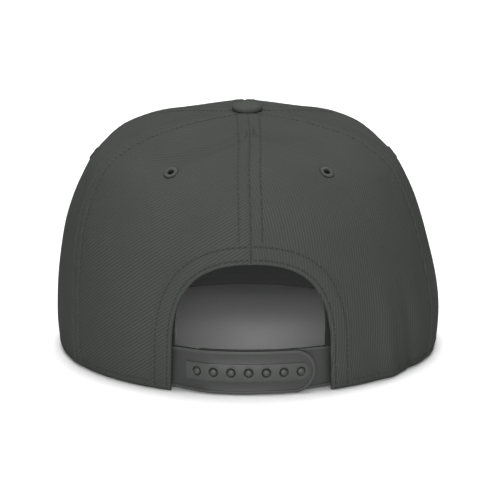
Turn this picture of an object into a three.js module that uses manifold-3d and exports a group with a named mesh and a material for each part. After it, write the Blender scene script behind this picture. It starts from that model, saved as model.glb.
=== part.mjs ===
// Six-panel snapback cap, flat visor, closed plastic snap strap at the back.
// Millimetres, +Z up. The visor points towards +Y and the wearer's right hand is +X.
// The origin is the middle of the head opening, on the surface that the cap rests on.
import * as THREE from "three";
import { mergeVertices } from "three/addons/utils/BufferGeometryUtils.js";
import { TessellateModifier } from "three/addons/modifiers/TessellateModifier.js";
import Module from "manifold-3d";

const wasm = await Module();
wasm.setup();

// Crown
const crownHeight = 107.7; // rim to the top of the cloth under the button
const sideReach = 86; // middle of the head opening to the rim at either side
const backReach = 95; // the same, to the rim at the back
const frontReach = 95; // the same, to the rim at the front
const crownLean = 2; // how far the top half leans to the wearer's left
const panelWall = 1.8; // cloth and its stiff backing
const panelFlatness = 1.6; // how far the middle of a panel is pulled in between its seams
const frontFlatness = 0.9; // the same, in the two front panels
const seamGap = 0.36; // between two panels at their seam
const sewnGap = 0.4; // between layers that are sewn or glued together
const panelColumnDegrees = 6.2;
const panelRows = 15;

// Seams between the panels, in degrees round from the middle of the back
const backSeamMiddle = 1.3;
const backSeamRight = 73;
const backSeamLeft = -68;
const frontSeam = 124;
const backSeamLeftDrift = 4; // how much further back the left one reaches the rim

// Opening at the back
const archHalfWidth = 35.3; // at the rim
const archWaistHalfWidth = 34.8; // just above the strap
const archWaistHeight = 22;
const archHeight = 57.6;
const archSideRise = 0.66; // share of the way up to which each side keeps its direction
const archSideLean = 0.98; // share of the waist left there
const archTopFlat = 0.69; // share of the waist over which the top starts level
const archSteps = 14;
const tapeWidth = 8;
const tapeThickness = 1;
const tapeGap = 0.7; // from the wall, whose soft folds it doesn't follow
const tapeSteps = 22;

// Visor
const visorDepth = 68; // front rim of the crown to the front edge
const visorHalfWidth = 87.5;
const visorWidestAhead = 78; // how far ahead of the origin the visor is widest
const visorThickness = 3.4;
const visorCamber = 5; // rise of the middle over the two side edges
const visorWrap = 62; // degrees from the middle of the front to the visor's ends
const visorEndGap = 0.5; // degrees between the visor's end and the start of the rim's ramp
const visorSquareness = 2.7; // 2 gives a round front edge, more gives a squarer one
const visorEdgeRound = 0.8;
const visorFrontShare = 0.86; // share of the visor's columns before the widest point
const visorEndLap = 1; // how far the visor's ends stand out past the crown's wall
const visorColumns = 30;
const visorRows = 4;
const rimStepDegrees = 6; // stretch of rim that comes down from the visor to the surface

// Sweatband
const bandHeight = 32;
const bandThickness = 1.1;
const bandGap = 1.1; // from the wall, whose rolled hem it doesn't follow
const bandFloorGap = 0.6;
const bandRows = 3;
const bandArchClearance = 1.5; // rim of the back opening to the band's end
const bandBlendDegrees = 22;
const bandColumnDegrees = 6.2;

// Snap strap
const strapHeight = 19.4;
const strapThickness = 1.3;
const strapTaper = 1.8; // how much lower the strap is at its sewn end
const strapFloorGap = 0.4;
const strapReliefHeight = 0.5; // of the border and of the band round the holes
const strapBorder = 1.5;
const strapTabLength = 45; // middle of the back to the sewn end
const strapCurvePoints = 33;
const strapBandHeight = 7.8;
const strapBandSquareEnd = 5.2; // first snap to the band's square end
const strapMaxEdge = 10;
const strapGap = 0.65; // between the two straps
const strapHemGap = 1.3; // from the wall, whose rolled hem the straps don't follow
const snapCount = 7;
const snapPitch = 7.8;
const snapOffset = -1; // of the middle snap from the middle of the back
const snapEndMargin = 6.6; // last snap to the strap's round end
const snapHoleRadius = 2.2;
const pegRadius = 1.45;
const pegProud = 0.5; // of the peg over the border of the holed strap
const roundSides = 10;

// Button
const buttonRadius = 6.9;
const buttonHeight = 3;
const buttonTilt = 4; // degrees, towards the back
const buttonSides = 20;
const stemRadius = 2.2;
const stemLength = 4;
const stemHole = 2.9;
const panelTopShare = 0.985; // share of the way to the button at which the panels end

// Eyelets
const eyeletRadius = 3.2;
const eyeletHole = 1.25;
const eyeletCore = 2.1;
const eyeletFlange = 0.6;

// Sections of the crown from the rim (first row) to the button (last), as shares of the reaches and height
const crownSections = [
  { backOut: 0.995, backUp: 0.0, sideOut: 0.986, sideUp: 0.0, frontOut: 0.995, frontUp: 0.0 },
  { backOut: 1.002, backUp: 0.045, sideOut: 1.003, sideUp: 0.045, frontOut: 1.0, frontUp: 0.06 },
  { backOut: 1.01, backUp: 0.15, sideOut: 1.014, sideUp: 0.15, frontOut: 1.006, frontUp: 0.17 },
  { backOut: 1.008, backUp: 0.29, sideOut: 1.006, sideUp: 0.29, frontOut: 1.0, frontUp: 0.31 },
  { backOut: 0.99, backUp: 0.44, sideOut: 0.978, sideUp: 0.44, frontOut: 0.982, frontUp: 0.47 },
  { backOut: 0.95, backUp: 0.585, sideOut: 0.94, sideUp: 0.58, frontOut: 0.95, frontUp: 0.62 },
  { backOut: 0.87, backUp: 0.72, sideOut: 0.878, sideUp: 0.715, frontOut: 0.89, frontUp: 0.76 },
  { backOut: 0.745, backUp: 0.835, sideOut: 0.788, sideUp: 0.833, frontOut: 0.775, frontUp: 0.88 },
  { backOut: 0.57, backUp: 0.92, sideOut: 0.61, sideUp: 0.922, frontOut: 0.595, frontUp: 0.94 },
  { backOut: 0.36, backUp: 0.972, sideOut: 0.375, sideUp: 0.972, frontOut: 0.375, frontUp: 0.977 },
  { backOut: 0.16, backUp: 0.995, sideOut: 0.16, sideUp: 0.995, frontOut: 0.165, frontUp: 0.996 },
  { backOut: 0.0, backUp: 1.0, sideOut: 0.0, sideUp: 1.0, frontOut: 0.0, frontUp: 1.0 },
];

// Soft creases and ripples: a turn is in degrees from the middle of the back, a rise is a share of the way
// to the button, width is across the fold and depth is inwards, both in mm; each fades towards its end
const folds = [
  { fromTurn: -2, fromRise: 0.715, toTurn: -52, toRise: 0.64, width: 8, depth: 1.3 },
  { fromTurn: 4, fromRise: 0.715, toTurn: 52, toRise: 0.69, width: 8, depth: 1.1 },
  { fromTurn: -12, fromRise: 0.84, toTurn: -60, toRise: 0.75, width: 9, depth: -0.9 },
  { fromTurn: 12, fromRise: 0.84, toTurn: 62, toRise: 0.79, width: 9, depth: -0.8 },
  { fromTurn: 47, fromRise: 0.0, toTurn: 42, toRise: 0.4, width: 7, depth: -1.2 },
  { fromTurn: 58, fromRise: 0.0, toTurn: 52, toRise: 0.4, width: 7, depth: 1.0 },
];

// Middle of each eyelet: a turn and a rise on each panel
const eyelets = [
  { name: "eyelet_back_left", turn: -33, rise: 0.665 },
  { name: "eyelet_back_right", turn: 36, rise: 0.66 },
  { name: "eyelet_side_left", turn: -98, rise: 0.615 },
  { name: "eyelet_side_right", turn: 98, rise: 0.615 },
  { name: "eyelet_front_left", turn: -152, rise: 0.655 },
  { name: "eyelet_front_right", turn: 152, rise: 0.655 },
];

const clothMaterial = { color: 0x4b4e4b, roughness: 0.92, metalness: 0 };
const visorMaterial = { color: 0x4b4e4b, roughness: 0.9, metalness: 0 };
const bandMaterial = { color: 0x3c3e3c, roughness: 0.9, metalness: 0 };
const threadMaterial = { color: 0x454845, roughness: 0.7, metalness: 0 };
const plasticMaterial = { color: 0x474a47, roughness: 0.45, metalness: 0 };

const hemRise = 1 / (crownSections.length - 1);
const hemHeight = crownHeight * crownSections[1].backUp;

const radians = THREE.MathUtils.degToRad;
const lerp = THREE.MathUtils.lerp;
const smoothstep = THREE.MathUtils.smoothstep;

// Profiles of the crown

function profileOf(out, up) {
  return new THREE.SplineCurve(crownSections.map((row) => new THREE.Vector2(row[out], row[up])));
}

const backProfile = profileOf("backOut", "backUp");
const sideProfile = profileOf("sideOut", "sideUp");
const frontProfile = profileOf("frontOut", "frontUp");

// Underside of the visor at a distance x from the middle
function visorUnderside(x) {
  return visorCamber * Math.max(0, 1 - (x / visorHalfWidth) ** 2);
}

// Height of the crown's rim: on the resting surface, and over the visor at the front
function rimHeight(turn) {
  const fromFront = 180 - Math.abs(turn);
  const rampStart = visorWrap + visorEndGap;
  const onVisor = 1 - smoothstep(fromFront, rampStart, rampStart + rimStepDegrees);
  const x = sideReach * crownSections[0].sideOut * Math.sin(radians(Math.min(fromFront, visorWrap)));
  return onVisor * (visorUnderside(x) + visorThickness + sewnGap);
}

// How far the folds move the cloth outwards
function foldRelief(turn, rise) {
  const mmPerDegree = radians(1) * sideReach;
  const riseLength = crownHeight + sideReach / 2; // roughly the length of a profile
  let relief = 0;
  for (const fold of folds) {
    const start = new THREE.Vector2(fold.fromTurn * mmPerDegree, fold.fromRise * riseLength);
    const end = new THREE.Vector2(fold.toTurn * mmPerDegree, fold.toRise * riseLength);
    const run = end.clone().sub(start);
    const here = new THREE.Vector2(turn * mmPerDegree, rise * riseLength).sub(start);
    const share = THREE.MathUtils.clamp(here.dot(run) / run.lengthSq(), 0, 1);
    const distance = here.sub(run.clone().multiplyScalar(share)).length();
    const fadeOut = 1 - smoothstep(share, 0.6, 1);
    relief -= fold.depth * fadeOut * Math.exp(-((distance / fold.width) ** 2) * 2);
  }
  return relief;
}

// Share of the way across its own panel, from 0 at one seam to 1 at the next
function shareOfPanel(turn) {
  const seams = [-180, -frontSeam, backSeamLeft, backSeamMiddle, backSeamRight, frontSeam, 180];
  for (let i = 1; i < seams.length; i++) {
    if (turn <= seams[i]) return (turn - seams[i - 1]) / (seams[i] - seams[i - 1]);
  }
  return 0;
}

// Degrees by which the cloth beside the left back seam lies further back, low on the crown
function seamDrift(turn, rise) {
  const behind = turn > backSeamLeft;
  const nearness = behind ? turn / backSeamLeft : (turn + frontSeam) / (backSeamLeft + frontSeam);
  return backSeamLeftDrift * THREE.MathUtils.clamp(nearness, 0, 1) * (1 - smoothstep(rise, 0.3, 0.65));
}

function leanAt(up) {
  return crownLean * smoothstep(up, 0.15, 0.6) * (1 - 0.8 * smoothstep(up, 0.85, 1));
}

// The crown's outer face without its folds: turn goes round from the back, rise goes up to the button
function smoothCrown(turn, rise) {
  const angle = radians(turn + seamDrift(turn, rise));
  const side = sideProfile.getPoint(rise);
  const atBack = Math.cos(angle) > 0;
  const end = (atBack ? backProfile : frontProfile).getPoint(rise);
  const sideWeight = Math.sin(angle) ** 2;
  const out = lerp(end.x, side.x, sideWeight);
  const up = lerp(end.y, side.y, sideWeight);
  const rim = rimHeight(turn);
  return new THREE.Vector3(
    sideReach * out * Math.sin(angle) - leanAt(up),
    -(atBack ? backReach : frontReach) * out * Math.cos(angle),
    rim + (crownHeight - rim) * up,
  );
}

function crownNormal(turn, rise) {
  const turnStep = 0.5;
  const riseStep = 0.004;
  const low = Math.max(0, rise - riseStep);
  const high = Math.min(1 - riseStep, rise + riseStep);
  const round = smoothCrown(turn + turnStep, rise).sub(smoothCrown(turn - turnStep, rise));
  const upwards = smoothCrown(turn, high).sub(smoothCrown(turn, low));
  const normal = round.cross(upwards).normalize();
  normal.z *= smoothstep(rise, 0, hemRise); // the rim is cut square to the resting surface
  return normal.normalize();
}

// A point on the crown, inset from its outer face
function crownPoint(turn, rise, inset) {
  const share = shareOfPanel(turn);
  const flatness = Math.abs(turn) > frontSeam ? frontFlatness : panelFlatness;
  const pull = flatness * Math.sin(Math.PI * share) ** 2 * smoothstep(rise, 0.15, 0.6);
  const outwards = foldRelief(turn, rise) - pull * smoothstep(1 - rise, 0, 0.3) - inset;
  return smoothCrown(turn, rise).addScaledVector(crownNormal(turn, rise), outwards);
}

// A point inside the crown at a given height; below the rim it goes straight down
function insideAt(turn, height, inset) {
  if (height <= rimHeight(turn)) return crownPoint(turn, 0, inset).setZ(height);
  let low = 0;
  let high = 0.75;
  for (let i = 0; i < 24; i++) {
    const middle = (low + high) / 2;
    if (crownPoint(turn, middle, inset).z < height) low = middle;
    else high = middle;
  }
  return crownPoint(turn, (low + high) / 2, inset);
}

// The point of the back wall that lies at x and z when seen from behind
function backWallPoint(x, z, inset) {
  let turn = THREE.MathUtils.radToDeg(Math.asin(THREE.MathUtils.clamp(x / sideReach, -0.95, 0.95)));
  let point = insideAt(turn, z, inset);
  for (let i = 0; i < 12; i++) {
    turn += THREE.MathUtils.radToDeg((x - point.x) / (sideReach * Math.cos(radians(turn))));
    point = insideAt(turn, z, inset);
  }
  return point;
}

// Solids

function solidOf(geometry) {
  const bare = geometry.index ? geometry.toNonIndexed() : geometry.clone();
  for (const key of Object.keys(bare.attributes)) {
    if (key !== "position") bare.deleteAttribute(key);
  }
  const merged = mergeVertices(bare, 1e-4);
  return new wasm.Manifold(
    new wasm.Mesh({
      numProp: 3,
      vertProperties: new Float32Array(merged.attributes.position.array),
      triVerts: new Uint32Array(merged.index.array),
    }),
  );
}

function geometryOf(solid) {
  const mesh = solid.getMesh();
  const geometry = new THREE.BufferGeometry();
  geometry.setAttribute("position", new THREE.BufferAttribute(new Float32Array(mesh.vertProperties), 3));
  geometry.setIndex(new THREE.BufferAttribute(new Uint32Array(mesh.triVerts), 1));
  return geometry;
}

// A closed skin over stations: each station is a closed ring of points, all of one length
function loftThrough(rings) {
  const positions = rings.flat().flatMap((point) => point.toArray());
  const count = rings[0].length;
  const index = [];
  for (let i = 0; i + 1 < rings.length; i++) {
    for (let j = 0; j < count; j++) {
      const a = i * count + j;
      const b = i * count + ((j + 1) % count);
      index.push(a, b, b + count, a, b + count, a + count);
    }
  }
  const half = count / 2;
  const lastRing = (rings.length - 1) * count;
  for (let j = 0; j + 1 < half; j++) {
    const across = count - 1 - j;
    index.push(j, across, across - 1, j, across - 1, j + 1);
    index.push(lastRing + j, lastRing + across - 1, lastRing + across);
    index.push(lastRing + j, lastRing + j + 1, lastRing + across - 1);
  }
  const geometry = new THREE.BufferGeometry();
  geometry.setAttribute("position", new THREE.Float32BufferAttribute(positions, 3));
  geometry.setIndex(index);
  return geometry;
}

function wrapped(turn) {
  return turn > 180 ? turn - 360 : turn;
}

// Turns from one to another in even steps, with the ends of the visor's ramp among them
function turnsBetween(from, to, step) {
  const count = Math.ceil((to - from) / step);
  const turns = Array.from({ length: count + 1 }, (_, i) => lerp(from, to, i / count));
  const rampStart = visorWrap + visorEndGap;
  for (const key of [rampStart, rampStart + rimStepDegrees / 2, rampStart + rimStepDegrees]) {
    for (const turn of [180 - key, key - 180]) {
      if (turn <= from || turn >= to) continue;
      const nearest = turns.reduce((a, b) => (Math.abs(b - turn) < Math.abs(a - turn) ? b : a));
      const place = turns.indexOf(nearest);
      const clear = Math.abs(nearest - turn) > step / 3 || place === 0 || place === count;
      turns.splice(place, clear ? 0 : 1, turn);
    }
  }
  return turns.sort((a, b) => a - b);
}

// Panels

const upperRises = Array.from({ length: panelRows }, (_, i) =>
  lerp(hemRise, panelTopShare, i / (panelRows - 1)),
);
const riseSteps = [0, ...upperRises];

// Moves a turn away from a seam by half the seam's gap
function besideSeam(turn, rise, towards) {
  const middle = smoothCrown(turn, rise);
  const radius = Math.hypot(middle.x + leanAt(middle.z / crownHeight), middle.y);
  return turn + towards * THREE.MathUtils.radToDeg(seamGap / 2 / radius);
}

function panelSolid(from, to) {
  const turns = turnsBetween(from, to, panelColumnDegrees);
  const rings = turns.map((turn, i) => {
    const towards = i === 0 ? 1 : i === turns.length - 1 ? -1 : 0;
    const at = (inset) => (rise) => crownPoint(besideSeam(turn, rise, towards), rise, inset);
    const outer = riseSteps.map(at(0)).reverse();
    const inner = riseSteps.map(at(panelWall));
    return [...outer, ...inner];
  });
  return solidOf(loftThrough(rings));
}

function eyeletFrame(eyelet) {
  const middle = crownPoint(eyelet.turn, eyelet.rise, panelWall / 2);
  const normal = crownNormal(eyelet.turn, eyelet.rise);
  const frame = new THREE.Matrix4().makeRotationFromQuaternion(
    new THREE.Quaternion().setFromUnitVectors(new THREE.Vector3(0, 1, 0), normal),
  );
  return frame.setPosition(middle);
}

// The lowest and highest of a solid within a radius of a frame's Y axis
function spanAround(solid, frame, radius) {
  const near = new THREE.CylinderGeometry(radius, radius, panelWall * 8, roundSides);
  const piece = solid.intersect(solidOf(near.applyMatrix4(frame)));
  const box = piece.transform(frame.clone().invert().toArray()).boundingBox();
  return { low: box.min[1], high: box.max[1] };
}

function drilled(solid, frame, radius) {
  const drill = new THREE.CylinderGeometry(radius, radius, panelWall * 8, roundSides);
  return solid.subtract(solidOf(drill.applyMatrix4(frame)));
}

// The button's frame: its Y axis is the button's own
const buttonFrame = new THREE.Matrix4()
  .makeRotationX(Math.PI / 2 + radians(buttonTilt))
  .setPosition(smoothCrown(0, 1));

// The outline of the opening at the back, seen from behind
function archCurve() {
  const shoulderHeight = lerp(archWaistHeight, archHeight, archSideRise);
  const top = new THREE.Vector2(0, archHeight);
  const quarter = (side) => [
    new THREE.Vector2(side * archWaistHalfWidth, archWaistHeight),
    new THREE.Vector2(side * archWaistHalfWidth * archSideLean, shoulderHeight),
    new THREE.Vector2(side * archWaistHalfWidth * archTopFlat, archHeight),
    top,
  ];
  const path = new THREE.CurvePath();
  path.add(new THREE.CubicBezierCurve(...quarter(-1)));
  path.add(new THREE.CubicBezierCurve(...quarter(1).reverse()));
  return path;
}

const arch = archCurve();

function archCutter() {
  const floor = -panelWall;
  const outline = new THREE.Shape([
    new THREE.Vector2(-archHalfWidth, floor),
    ...arch.getSpacedPoints(archSteps * 2),
    new THREE.Vector2(archHalfWidth, floor),
  ]);
  const block = new THREE.ExtrudeGeometry(outline, { depth: backReach, bevelEnabled: false, steps: 1 });
  block.rotateX(Math.PI / 2);
  block.translate(0, -backReach / 3, 0);
  return solidOf(block);
}

// A panel, drilled for its eyelet and for the button's stem; the eyelet keeps the span of cloth it grips
function panelWithHoles(from, to, opensAtBack) {
  let solid = panelSolid(from, to);
  for (const eyelet of eyelets) {
    if (eyelet.turn < from || eyelet.turn > to) continue;
    const frame = eyeletFrame(eyelet);
    eyelet.cloth = spanAround(solid, frame, eyeletRadius);
    solid = drilled(solid, frame, eyeletCore + seamGap);
  }
  if (opensAtBack) solid = solid.subtract(archCutter());
  return drilled(solid, buttonFrame, stemHole);
}

// Tape sewn inside the edge of the back opening
function openingTapeGeometry() {
  const outerInset = panelWall + tapeGap;
  const innerInset = outerInset + tapeThickness;
  const rings = [];
  for (let i = 0; i <= tapeSteps; i++) {
    const share = i / tapeSteps;
    const edge = arch.getPointAt(share);
    const along = arch.getTangentAt(share);
    const away = new THREE.Vector2(-along.y, along.x);
    const far = edge.clone().addScaledVector(away, tapeWidth);
    const floor = strapHeight + strapFloorGap + sewnGap;
    far.y = Math.max(far.y, floor);
    edge.y = Math.max(edge.y, floor);
    rings.push([
      backWallPoint(edge.x, edge.y, innerInset),
      backWallPoint(far.x, far.y, innerInset),
      backWallPoint(far.x, far.y, outerInset),
      backWallPoint(edge.x, edge.y, outerInset),
    ]);
  }
  return loftThrough(rings);
}

// Sweatband: it hugs the crown, and steps inwards over the sewn ends of the strap beside the back opening
function sweatbandGeometry() {
  const start = THREE.MathUtils.radToDeg(Math.asin((archHalfWidth + bandArchClearance) / sideReach));
  const turns = turnsBetween(start, 360 - start, bandColumnDegrees).map(wrapped);
  const hug = panelWall + bandGap;
  const overStrap = strapUnderPanel + bandGap;
  const rings = turns.map((turn) => {
    const pastEnd = (Math.abs(turn) - start) / bandBlendDegrees;
    const inset = lerp(overStrap, hug, smoothstep(pastEnd, 0.5, 1.5));
    const rim = rimHeight(turn);
    const bottom = Math.max(bandFloorGap, rim - visorThickness - sewnGap);
    const heights = Array.from({ length: bandRows + 1 }, (_, i) => lerp(bottom, bandHeight, i / bandRows));
    const outer = heights.map((height) => insideAt(turn, height, inset)).reverse();
    const inner = heights.map((height) => insideAt(turn, height, inset + bandThickness));
    return [...outer, ...inner];
  });
  return loftThrough(rings);
}

// Visor: its inner edge lies under the crown's wall, its outer edge is a squared oval
function visorInner(share) {
  const turn = wrapped(180 - share * visorWrap);
  return insideAt(turn, rimHeight(turn), panelWall);
}

function visorOuter(share) {
  const tip = visorInner(Math.sign(share) || 1);
  const ahead = frontReach + visorDepth - visorWidestAhead;
  const swing = (Math.abs(share) * Math.PI) / 2 / visorFrontShare;
  if (swing <= Math.PI / 2) {
    const power = 2 / visorSquareness;
    const x = Math.sign(share) * visorHalfWidth * Math.sin(swing) ** power;
    return new THREE.Vector3(x, visorWidestAhead + ahead * Math.max(0, Math.cos(swing)) ** power, 0);
  }
  const curve = new THREE.QuadraticBezierCurve(
    new THREE.Vector2(visorHalfWidth, visorWidestAhead),
    new THREE.Vector2(visorHalfWidth, (tip.y + visorWidestAhead) / 2),
    new THREE.Vector2(Math.abs(tip.x) + panelWall + visorEndLap, tip.y),
  );
  const point = curve.getPoint((Math.abs(share) - visorFrontShare) / (1 - visorFrontShare));
  return new THREE.Vector3(Math.sign(share) * point.x, point.y, 0);
}

function visorSolid() {
  const rings = [];
  for (let i = 0; i <= visorColumns; i++) {
    const share = lerp(1, -1, i / visorColumns);
    const inner = visorInner(share);
    const outer = visorOuter(share);
    const flatShare = 1 - visorEdgeRound / Math.hypot(outer.x - inner.x, outer.y - inner.y);
    const shares = Array.from({ length: visorRows + 1 }, (_, row) => (flatShare * row) / visorRows);
    const place = (across, height) => {
      const x = lerp(inner.x, outer.x, across);
      return new THREE.Vector3(x, lerp(inner.y, outer.y, across), visorUnderside(x) + height);
    };
    const top = shares.map((across) => place(across, visorThickness));
    const edge = [place(1, visorThickness - visorEdgeRound), place(1, visorEdgeRound)];
    const bottom = shares.map((across) => place(across, 0)).reverse();
    rings.push([...top, ...edge, ...bottom]);
  }
  return solidOf(loftThrough(rings));
}

// Straps: drawn flat, along x and up y, then laid round the back of the crown

// The line of the back wall at a height, level, from one side of the opening to the other
function backWallLine(height) {
  const reach = strapTabLength * 1.3;
  const last = strapCurvePoints - 1;
  const places = Array.from({ length: strapCurvePoints }, (_, i) => lerp(-reach, reach, i / last));
  return new THREE.CatmullRomCurve3(places.map((x) => backWallPoint(x, height, 0).setZ(0)));
}

const lowLine = backWallLine(hemHeight);
const highLine = backWallLine(strapFloorGap + strapHeight);

// A point of a strap; deep is how far its back face lies inside the line of the crown's outer face
function layOnBack(along, up, outwards, deep) {
  const at = (line) => {
    const share = 0.5 + along / line.getLength();
    const tangent = line.getTangentAt(share);
    const outward = new THREE.Vector3(tangent.y, -tangent.x, 0).normalize();
    return line.getPointAt(share).addScaledVector(outward, outwards - deep);
  };
  return at(lowLine)
    .lerp(at(highLine), up / strapHeight)
    .setZ(up + strapFloorGap);
}

const strapRoundEnd = snapOffset + ((snapCount - 1) / 2) * snapPitch + snapEndMargin;
const strapStack = strapThickness + strapReliefHeight;
const strapUnderPanel = panelWall + strapHemGap + strapStack;

function strapOutline(margin) {
  const low = (along) => margin + strapTaper * (along / strapTabLength) ** 2;
  const high = strapHeight - margin;
  const radius = (strapHeight - low(strapRoundEnd - strapHeight / 2) - margin) / 2;
  const centre = strapRoundEnd - margin - radius;
  const middleUp = high - radius;
  const outline = new THREE.Shape();
  outline.moveTo(-strapTabLength, low(-strapTabLength));
  for (let i = 1; i <= 6; i++) {
    const along = lerp(-strapTabLength, centre, i / 6);
    outline.lineTo(along, lerp(low(along), middleUp - radius, i / 6));
  }
  outline.absarc(centre, middleUp, radius, -Math.PI / 2, Math.PI / 2, false);
  outline.lineTo(-strapTabLength, high);
  return outline;
}

function snapBandOutline() {
  const middleUp = strapHeight / 2;
  const radius = strapBandHeight / 2;
  const left = snapOffset - ((snapCount - 1) / 2) * snapPitch;
  const right = snapOffset + ((snapCount - 1) / 2) * snapPitch;
  const outline = new THREE.Shape();
  outline.moveTo(left - strapBandSquareEnd, middleUp - radius);
  outline.lineTo(right, middleUp - radius);
  outline.absarc(right, middleUp, radius, -Math.PI / 2, Math.PI / 2, false);
  outline.lineTo(left - strapBandSquareEnd, middleUp + radius);
  return outline;
}

function slab(outline, from, to) {
  const geometry = new THREE.ExtrudeGeometry(outline, {
    depth: to - from,
    bevelEnabled: false,
    steps: 1,
    curveSegments: 10,
  });
  return solidOf(geometry.translate(0, 0, from));
}

function roundPost(along, radius, from, to, cap) {
  const post = new THREE.CylinderGeometry(radius * cap, radius, to - from, roundSides);
  post.rotateX(Math.PI / 2);
  return solidOf(post.translate(along, strapHeight / 2, (from + to) / 2));
}

const middleSnap = (snapCount - 1) / 2;
const snapPlaces = Array.from({ length: snapCount }, (_, i) => snapOffset + (i - middleSnap) * snapPitch);

// A strap blank with its raised border and, on the holed one, the raised band round the holes
function strapBlank(raised) {
  const pocket = slab(strapOutline(strapBorder), strapThickness, strapThickness * 2);
  const body = slab(strapOutline(0), 0, strapStack);
  return raised ? body.subtract(pocket.subtract(raised)) : body.subtract(pocket);
}

function laidStrap(solid, mirrored, depthAt) {
  const fine = new TessellateModifier(strapMaxEdge, 8).modify(geometryOf(solid).toNonIndexed());
  const position = fine.attributes.position;
  for (let i = 0; i < position.count; i++) {
    const along = mirrored ? 2 * snapOffset - position.getX(i) : position.getX(i);
    const laid = layOnBack(along, position.getY(i), position.getZ(i), depthAt(along));
    position.setXYZ(i, laid.x, laid.y, laid.z);
  }
  const laid = solidOf(mirrored ? flipped(fine) : fine);
  return geometryOf(laid);
}

function flipped(geometry) {
  const position = geometry.attributes.position;
  for (let i = 0; i < position.count; i += 3) {
    const second = new THREE.Vector3().fromBufferAttribute(position, i + 1);
    const third = new THREE.Vector3().fromBufferAttribute(position, i + 2);
    position.setXYZ(i + 1, third.x, third.y, third.z);
    position.setXYZ(i + 2, second.x, second.y, second.z);
  }
  return geometry;
}

// Each strap is sewn in under its panel; the holed one comes out over the other, whose pegs fill its holes
function holedStrapDepth(along) {
  const risen = smoothstep(along, -archWaistHalfWidth, -archWaistHalfWidth / 2);
  return strapUnderPanel - risen * (strapStack + strapGap);
}

function peggedStrapDepth(along) {
  return Math.max(strapUnderPanel, holedStrapDepth(along) + strapStack + strapGap);
}

function holedStrapGeometry() {
  let solid = strapBlank(slab(snapBandOutline(), 0, strapStack));
  for (const along of snapPlaces) {
    solid = solid.subtract(roundPost(along, snapHoleRadius, -1, strapStack + 1, 1));
  }
  return laidStrap(solid, false, holedStrapDepth);
}

function peggedStrapGeometry() {
  let solid = strapBlank(null);
  const reach = strapStack + strapGap + strapStack + pegProud;
  for (const along of snapPlaces) {
    const shaft = roundPost(along, pegRadius, strapThickness / 2, reach - pegRadius / 3, 1);
    const dome = roundPost(along, pegRadius, reach - pegRadius / 3 - 0.01, reach, 0.6);
    solid = solid.add(shaft).add(dome);
  }
  return laidStrap(solid, true, peggedStrapDepth);
}

// Button: seated clear of the cloth round its stem
function buttonGeometry(panels) {
  const clothTops = panels.map((panel) => spanAround(panel, buttonFrame, buttonRadius).high);
  const seat = Math.max(...clothTops) + seamGap;
  const profile = [
    [0, -stemLength],
    [stemRadius, -stemLength],
    [stemRadius, 0],
    [buttonRadius * 0.95, 0],
    [buttonRadius, buttonHeight * 0.2],
    [buttonRadius * 0.93, buttonHeight * 0.55],
    [buttonRadius * 0.72, buttonHeight * 0.85],
    [buttonRadius * 0.38, buttonHeight * 0.98],
    [0, buttonHeight],
  ].map(([radius, up]) => new THREE.Vector2(radius, up + seat));
  return geometryOf(solidOf(new THREE.LatheGeometry(profile, buttonSides)));
}

// Eyelet: a ring whose two flanges lie just off the outer and the inner face of the cloth
function eyeletGeometry({ low, high }) {
  const ring = [
    [eyeletHole, low - seamGap - eyeletFlange],
    [eyeletRadius, low - seamGap - eyeletFlange],
    [eyeletRadius, low - seamGap],
    [eyeletCore, low - seamGap],
    [eyeletCore, high + seamGap],
    [eyeletRadius, high + seamGap],
    [eyeletRadius, high + seamGap + eyeletFlange],
    [eyeletHole, high + seamGap + eyeletFlange],
    [eyeletHole, low - seamGap - eyeletFlange],
  ].map(([radius, up]) => new THREE.Vector2(radius, up));
  return geometryOf(solidOf(new THREE.LatheGeometry(ring, roundSides)));
}

// The cap: its own middle lies behind the middle of the visor's and the crown's whole length

const cap = new THREE.Group();
cap.position.y = -(frontReach + visorDepth - backReach) / 2;

function place(name, geometry, look) {
  const mesh = new THREE.Mesh(geometry, new THREE.MeshStandardMaterial(look));
  mesh.name = name;
  cap.add(mesh);
  return mesh;
}

const panels = {
  panel_back_left: panelWithHoles(backSeamLeft, backSeamMiddle, true),
  panel_back_right: panelWithHoles(backSeamMiddle, backSeamRight, true),
  panel_side_left: panelWithHoles(-frontSeam, backSeamLeft, false),
  panel_side_right: panelWithHoles(backSeamRight, frontSeam, false),
  panel_front_left: panelWithHoles(-180, -frontSeam, false),
  panel_front_right: panelWithHoles(frontSeam, 180, false),
};

for (const [name, solid] of Object.entries(panels)) place(name, geometryOf(solid), clothMaterial);
place("visor", geometryOf(visorSolid()), visorMaterial);
place("sweatband", geometryOf(solidOf(sweatbandGeometry())), bandMaterial);
place("opening_tape", geometryOf(solidOf(openingTapeGeometry())), clothMaterial);
place("strap_holed", holedStrapGeometry(), plasticMaterial);
place("strap_pegged", peggedStrapGeometry(), plasticMaterial);
place("button", buttonGeometry(Object.values(panels)), clothMaterial).applyMatrix4(buttonFrame);
for (const eyelet of eyelets) {
  place(eyelet.name, eyeletGeometry(eyelet.cloth), threadMaterial).applyMatrix4(eyeletFrame(eyelet));
}

export default cap;
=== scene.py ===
# Snapback cap seen from behind: sewn twill crown, flat visor and closed plastic snap strap on a white floor.
# Sizes are in millimetres and become metres when a mesh gets its points. The visor points to +Y.
from math import cos, pi, radians, sin

import bpy
import numpy as np
from mathutils import Matrix, Vector


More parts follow.
